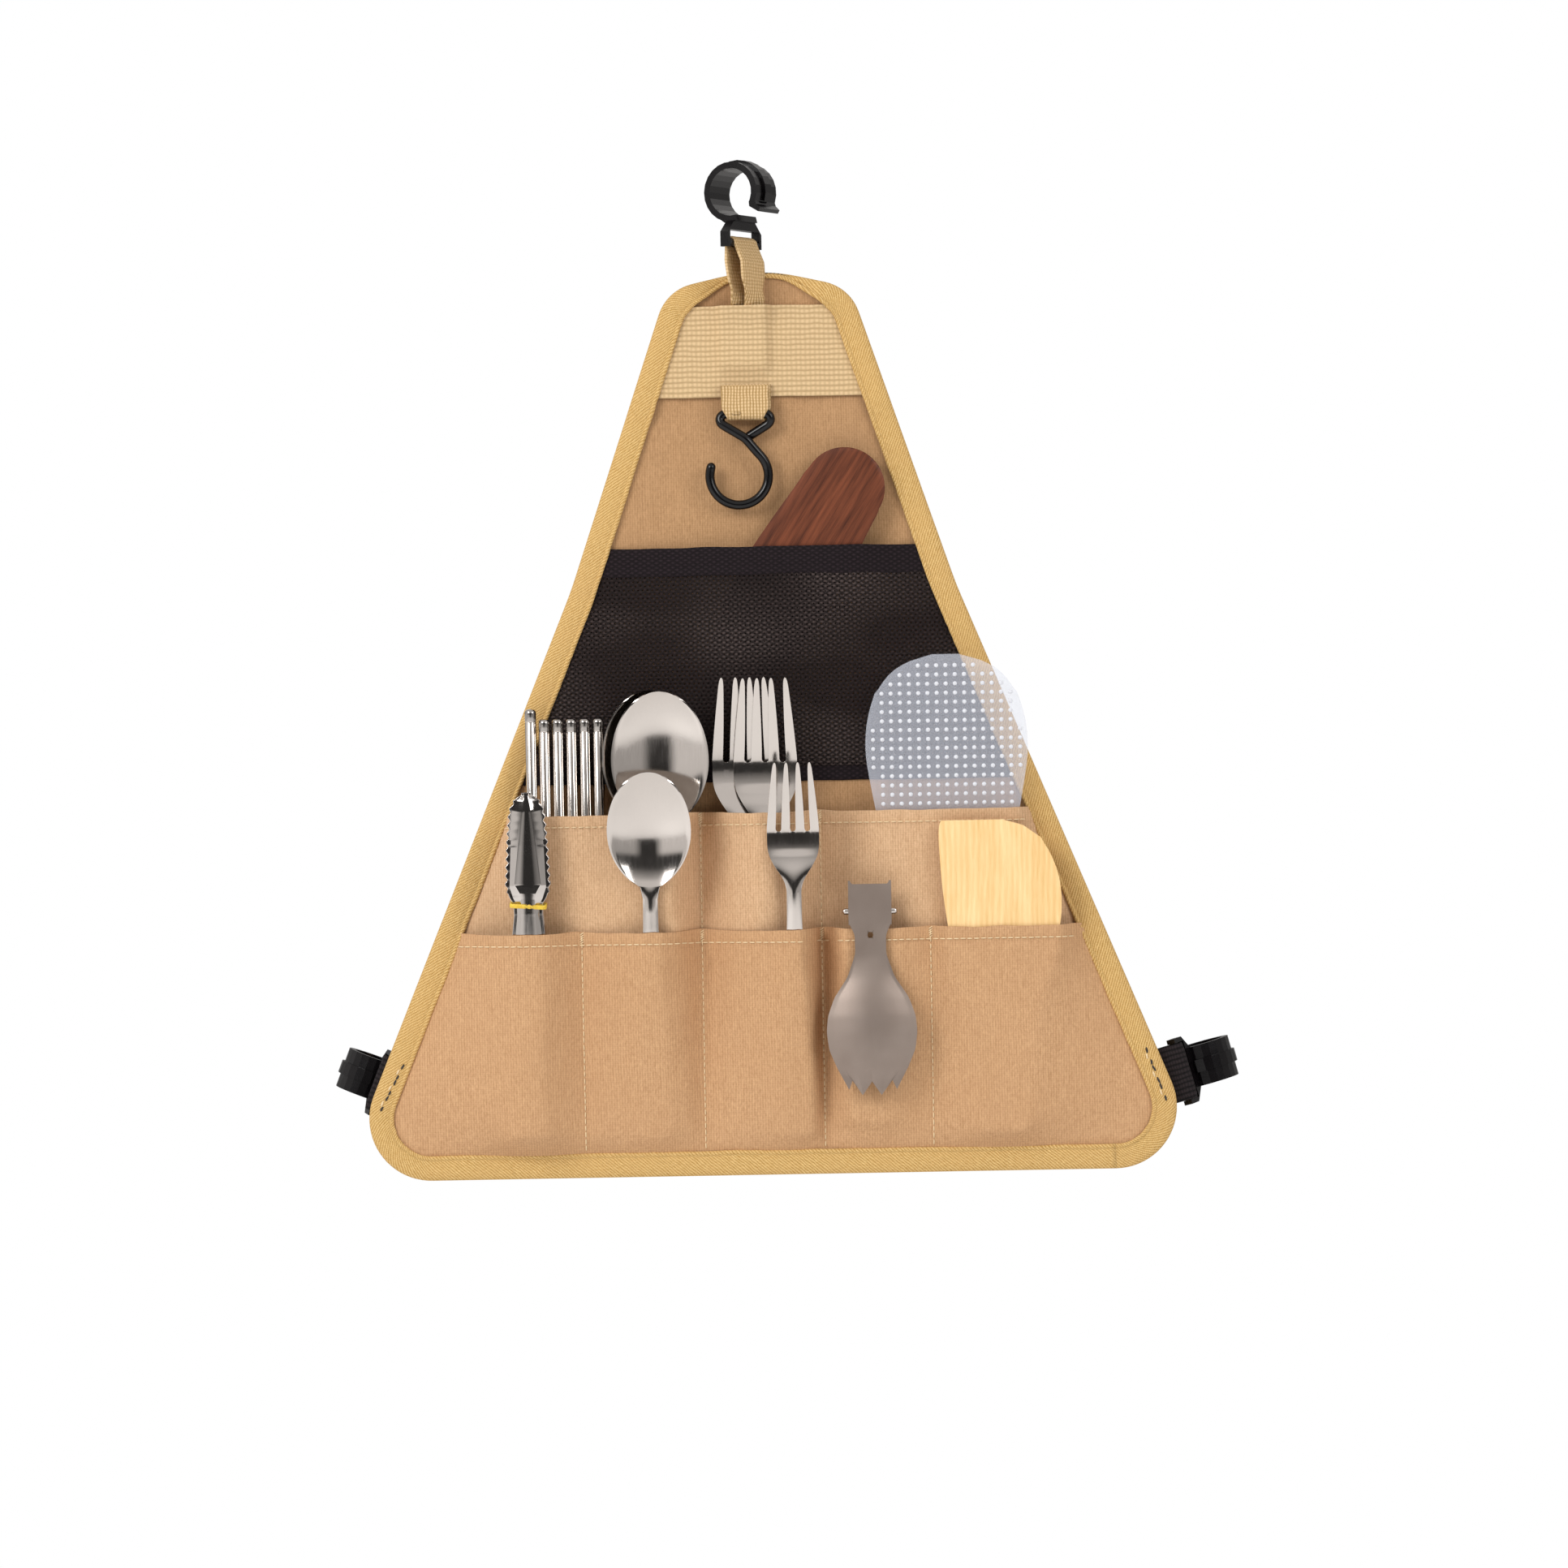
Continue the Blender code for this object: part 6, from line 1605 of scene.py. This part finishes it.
# Side tabs and clips
def build_side_tab(name, side, tab_v, lean, bar_out):
    """Black webbing from behind the tape, round the clip's bar and back, leaning up from the level."""
    outward = np.array([side * cos(radians(lean)), 0.0, sin(radians(lean))])
    edge_way = np.array([-side * sin(radians(lean)), 0.0, cos(radians(lean))])
    back = np.array([0.0, 1.0, 0.0])
    first, loop, rows = 3.3, 2.9, 14
    edge = spot_mm(side * half_width(tab_v), tab_v, 0.0)
    bar = edge + outward * bar_out + back * (first + loop)
    root = edge - outward * 9.0
    low, high = bar - back * loop, bar + back * loop
    centres = [root + back * first + (low - root - back * first) * t for t in np.linspace(0, 1, rows)]
    normals = [-back] * rows
    for k in range(1, 12):
        angle = pi * k / 12
        radial = outward * sin(angle) - back * cos(angle)
        centres.append(bar + radial * loop)
        normals.append(radial)
    second = root + back * (first + 1.6)
    for t in np.linspace(0, 1, rows):
        belly = 2.6 * sin(pi * t) * (1 - t)
        centres.append(high + (second - high) * t + back * belly)
        normals.append(back)
    halves = [edge_way * 12.5] * len(centres)
    obj = ribbon("side_tab_" + name + "_webbing", centres, halves, normals, 15, BLACK_WEBBING,
                 "black_webbing", "side_tab_" + name, 1.15, 0.12)
    if side < 0:
        obj.data.flip_normals()


def finish_clips():
    """The clips keep their moulded shape; they take their plastic and eased edges."""
    for name in ("top_clip", "left_clip", "right_clip"):
        clip = frame["nodes"][name]
        clip.data.materials.clear()
        clip.data.materials.append(PLASTIC)
        ease_edges(clip, 0.45, 35).harden_normals = True


# Sewing thread
TO_FRONT = np.array([0.0, -1.0, 0.0])


class Threads:
    """Short thread stitches, gathered into one mesh."""

    def __init__(self):
        self.points = []
        self.faces = []

    def stitch(self, start, end, out, radius=0.28):
        """One stitch from start to end in world mm, bowed out along a direction."""
        start, end, out = (np.array(p, dtype=float) for p in (start, end, out))
        steps = np.linspace(0, 1, 6)
        path = [start + (end - start) * t + out * (0.34 * sin(pi * t) - 0.1) for t in steps]
        points, faces = tube_mesh(path, [radius * f for f in (0.7, 1.0, 1.05, 1.05, 1.0, 0.7)], 7)
        base = len(self.points)
        self.points.extend(points.tolist())
        self.faces.extend([tuple(base + k for k in face) for face in faces])

    def piece(self, name, material):
        """All the stitches, as one piece that rides on the bag."""
        return piece(name, np.array(self.points) * MM, self.faces, material, "bag", "canvas")


def cloth_tree(obj):
    """The finished surface of a cloth piece, for finding places on it."""
    return BVHTree.FromObject(obj, bpy.context.evaluated_depsgraph_get())


def on_cloth(tree, u, v):
    """World mm place of the cloth's front at (u, v), or None beside it."""
    met = foremost(tree, u, v)
    return None if met is None else np.array(met) / MM


def sew(threads, tree, path, seed):
    """A row of lock stitches along a (u, v) path."""
    pitch, length, steepest, proud = 3.0, 2.05, 4.0, 0.25
    path = np.array(path, dtype=float)
    reach = distances(path)
    for k in range(int(reach[-1] / pitch)):
        begin = k * pitch + 0.25 * noise_at(k * 1.7, 0.0, seed)
        ends = []
        for s in (begin, begin + length):
            u = float(np.interp(s, reach, path[:, 0])) + 0.12 * noise_at(k * 0.9, s, seed + 1)
            v = float(np.interp(s, reach, path[:, 1])) + 0.12 * noise_at(s, k * 0.9, seed + 2)
            ends.append(on_cloth(tree, u, v))
        if ends[0] is not None and ends[1] is not None and abs(ends[0][1] - ends[1][1]) < steepest:
            threads.stitch(ends[0] + TO_FRONT * proud, ends[1] + TO_FRONT * proud, TO_FRONT)


def build_seams():
    """Stitches along each pocket's hem and seams, and a short bar tack over the hem at each seam."""
    upper = cloth_tree(bpy.data.objects["upper_pocket_canvas"])
    lower = cloth_tree(bpy.data.objects["lower_pocket_canvas"])
    thread = Threads()
    for tree, mouth, seams, low, seed in ((upper, UPPER_MOUTH, UPPER_SEAMS, LOWER_MOUTH, 40),
                                          (lower, LOWER_MOUTH, LOWER_SEAMS, 12.0, 50)):
        row = mouth - HEM + 0.6
        side = half_width(row, TAPE_W + 0.5)
        sew(thread, tree, [(-side, row), (side, row)], seed)
        for n, seam in enumerate(seams):
            sew(thread, tree, [(seam, low), (seam, mouth - 0.6)], seed + n)
            for k in range(5):
                v = mouth - HEM + 1.6 + k * (HEM - 2.4) / 4
                places = [on_cloth(tree, seam + s * 0.75, v + s * 0.5) for s in (-1, 1)]
                if places[0] is not None and places[1] is not None:
                    thread.stitch(places[0], places[1], TO_FRONT, 0.24)
    thread.piece("seam_thread", SEAM_THREAD)


def build_tacks():
    """Rows of thick black and pale stitches that hold the side tabs under the tape."""
    tape = cloth_tree(bpy.data.objects["binding_tape"])
    pale, dark = Threads(), Threads()
    for path, seed in ((((-163.6, 51.4), (-174.4, 30.6)), 70), (((165.2, 53.0), (174.2, 29.0)), 80)):
        start, end = (np.array(p) for p in path)
        count = 9
        for k in range(count):
            a, b = start + (end - start) * k / count, start + (end - start) * (k + 0.82) / count
            shake = np.array([0.5 * noise_at(k * 1.3, 0.0, seed), 0.3 * noise_at(k * 1.1, 2.0, seed)])
            first, last = on_cloth(tape, *(a + shake)), on_cloth(tape, *(b - shake))
            if first is None or last is None:
                continue
            for threads, skew in ((dark, 0.4), (pale, -0.6)):
                if (threads is dark) == (k % 3 != 1):
                    move = np.array([skew, 0.0, 0.0])
                    threads.stitch(first + move, last + move, TO_FRONT, 0.42)
    pale.piece("tack_thread_pale", SEAM_THREAD)
    dark.piece("tack_thread_black", TACK_THREAD)


build_strap()
build_tab()
build_hook()
build_side_tab("left", -1, 43.0, 21.0, -1.0)
build_side_tab("right", 1, 40.0, 15.0, 6.5)
finish_clips()
build_seams()
build_tacks()


# Light
def soft_box(name, place, target, size, power):
    """A square white lamp that faces a place."""
    data = bpy.data.lights.new(name, "AREA")
    data.shape = "SQUARE"
    data.size = size
    data.energy = power
    lamp = bpy.data.objects.new(name, data)
    bpy.context.scene.collection.objects.link(lamp)
    lamp.location = place
    lamp.rotation_euler = (Vector(target) - Vector(place)).to_track_quat("-Z", "Y").to_euler()


def build_light():
    """Two soft lamps in front, the stronger one from the left."""
    middle = (0.0, 0.0, -0.22)
    soft_box("key", (-1.3, -1.5, 0.75), middle, 0.9, 24.0)
    soft_box("fill", (1.4, -1.4, 0.55), middle, 0.9, 11.0)


def build_world():
    """Soft studio light from above, below and both sides; dark in front, and plain white to the camera."""
    world = bpy.data.worlds.new("studio")
    bpy.context.scene.world = world
    world.use_nodes = True
    tree = world.node_tree
    tree.nodes.clear()
    direction = add(tree, "ShaderNodeTexCoord").outputs["Generated"]
    x, y, z = add(tree, "ShaderNodeSeparateXYZ", {0: direction}).outputs
    aside = add(tree, "ShaderNodeMath", {0: x}, operation="ABSOLUTE")
    beside = add(tree, "ShaderNodeMapRange", {0: aside, 1: 0.18, 2: 0.38, 3: 0.03, 4: 1.0})
    leftward = add(tree, "ShaderNodeMapRange", {0: x, 1: -0.3, 2: 0.3, 3: 0.85, 4: 0.5})
    rise = add(tree, "ShaderNodeMapRange", {0: z, 1: 0.0, 2: 0.06})
    fall = add(tree, "ShaderNodeMapRange", {0: z, 1: 0.22, 2: 0.32, 3: 1.0, 4: 0.0})
    near = add(tree, "ShaderNodeMapRange", {0: aside, 1: 0.75, 2: 0.9, 3: 1.0, 4: 0.0})
    gap = add(tree, "ShaderNodeMath", {0: rise, 1: fall}, operation="MULTIPLY")
    gap = add(tree, "ShaderNodeMath", {0: gap, 1: near}, operation="MULTIPLY")
    sides = add(tree, "ShaderNodeMath", {0: beside, 1: leftward}, operation="MULTIPLY")
    kept = add(tree, "ShaderNodeMath", {0: 1.0, 1: gap}, operation="SUBTRACT")
    strength = add(tree, "ShaderNodeMath", {0: sides, 1: kept}, operation="MULTIPLY")
    for way, low, high, at_low, at_high in ((z, -0.24, -0.17, 0.75, 0.03), (z, 0.2, 0.4, 0.04, 0.85),
                                            (y, -0.1, 0.5, 0.0, 0.35)):
        part = add(tree, "ShaderNodeMapRange", {0: way, 1: low, 2: high, 3: at_low, 4: at_high})
        strength = add(tree, "ShaderNodeMath", {0: strength, 1: part}, operation="MAXIMUM")
    seen = add(tree, "ShaderNodeBackground", {0: (1.0, 1.0, 1.0, 1.0), 1: 1.0})
    soft = add(tree, "ShaderNodeBackground", {0: (1.0, 0.97, 0.945, 1.0), 1: strength})
    camera = add(tree, "ShaderNodeLightPath").outputs["Is Camera Ray"]
    mixed = add(tree, "ShaderNodeMixShader", {0: camera, 1: soft, 2: seen})
    add(tree, "ShaderNodeOutputWorld", {0: mixed})


def build_floor():
    """A pale floor well below the bag, which keeps its shadow and is white where it has none."""
    made = bpy.data.materials.new("studio_floor")
    made.use_nodes = True
    tree = made.node_tree
    tree.nodes.clear()
    paper = add(tree, "ShaderNodeBsdfDiffuse", {0: linear("#f7f7f7")})
    glow = add(tree, "ShaderNodeEmission", {0: (1.0, 1.0, 1.0, 1.0), 1: 0.45})
    both = add(tree, "ShaderNodeAddShader", {0: paper, 1: glow})
    camera = add(tree, "ShaderNodeLightPath").outputs["Is Camera Ray"]
    mixed = add(tree, "ShaderNodeMixShader", {0: camera, 1: paper, 2: both})
    add(tree, "ShaderNodeOutputMaterial", {0: mixed})
    mesh = bpy.data.meshes.new("floor")
    wide, near, far, low = 1.8, -2.2, 0.9, -0.72
    mesh.from_pydata([(-wide, near, low), (wide, near, low), (wide, far, low), (-wide, far, low)],
                     [], [(0, 1, 2, 3)])
    mesh.materials.append(made)
    obj = bpy.data.objects.new("floor", mesh)
    bpy.context.scene.collection.objects.link(obj)


build_light()
build_world()
build_floor()
bpy.context.scene.view_settings.view_transform = "Standard"
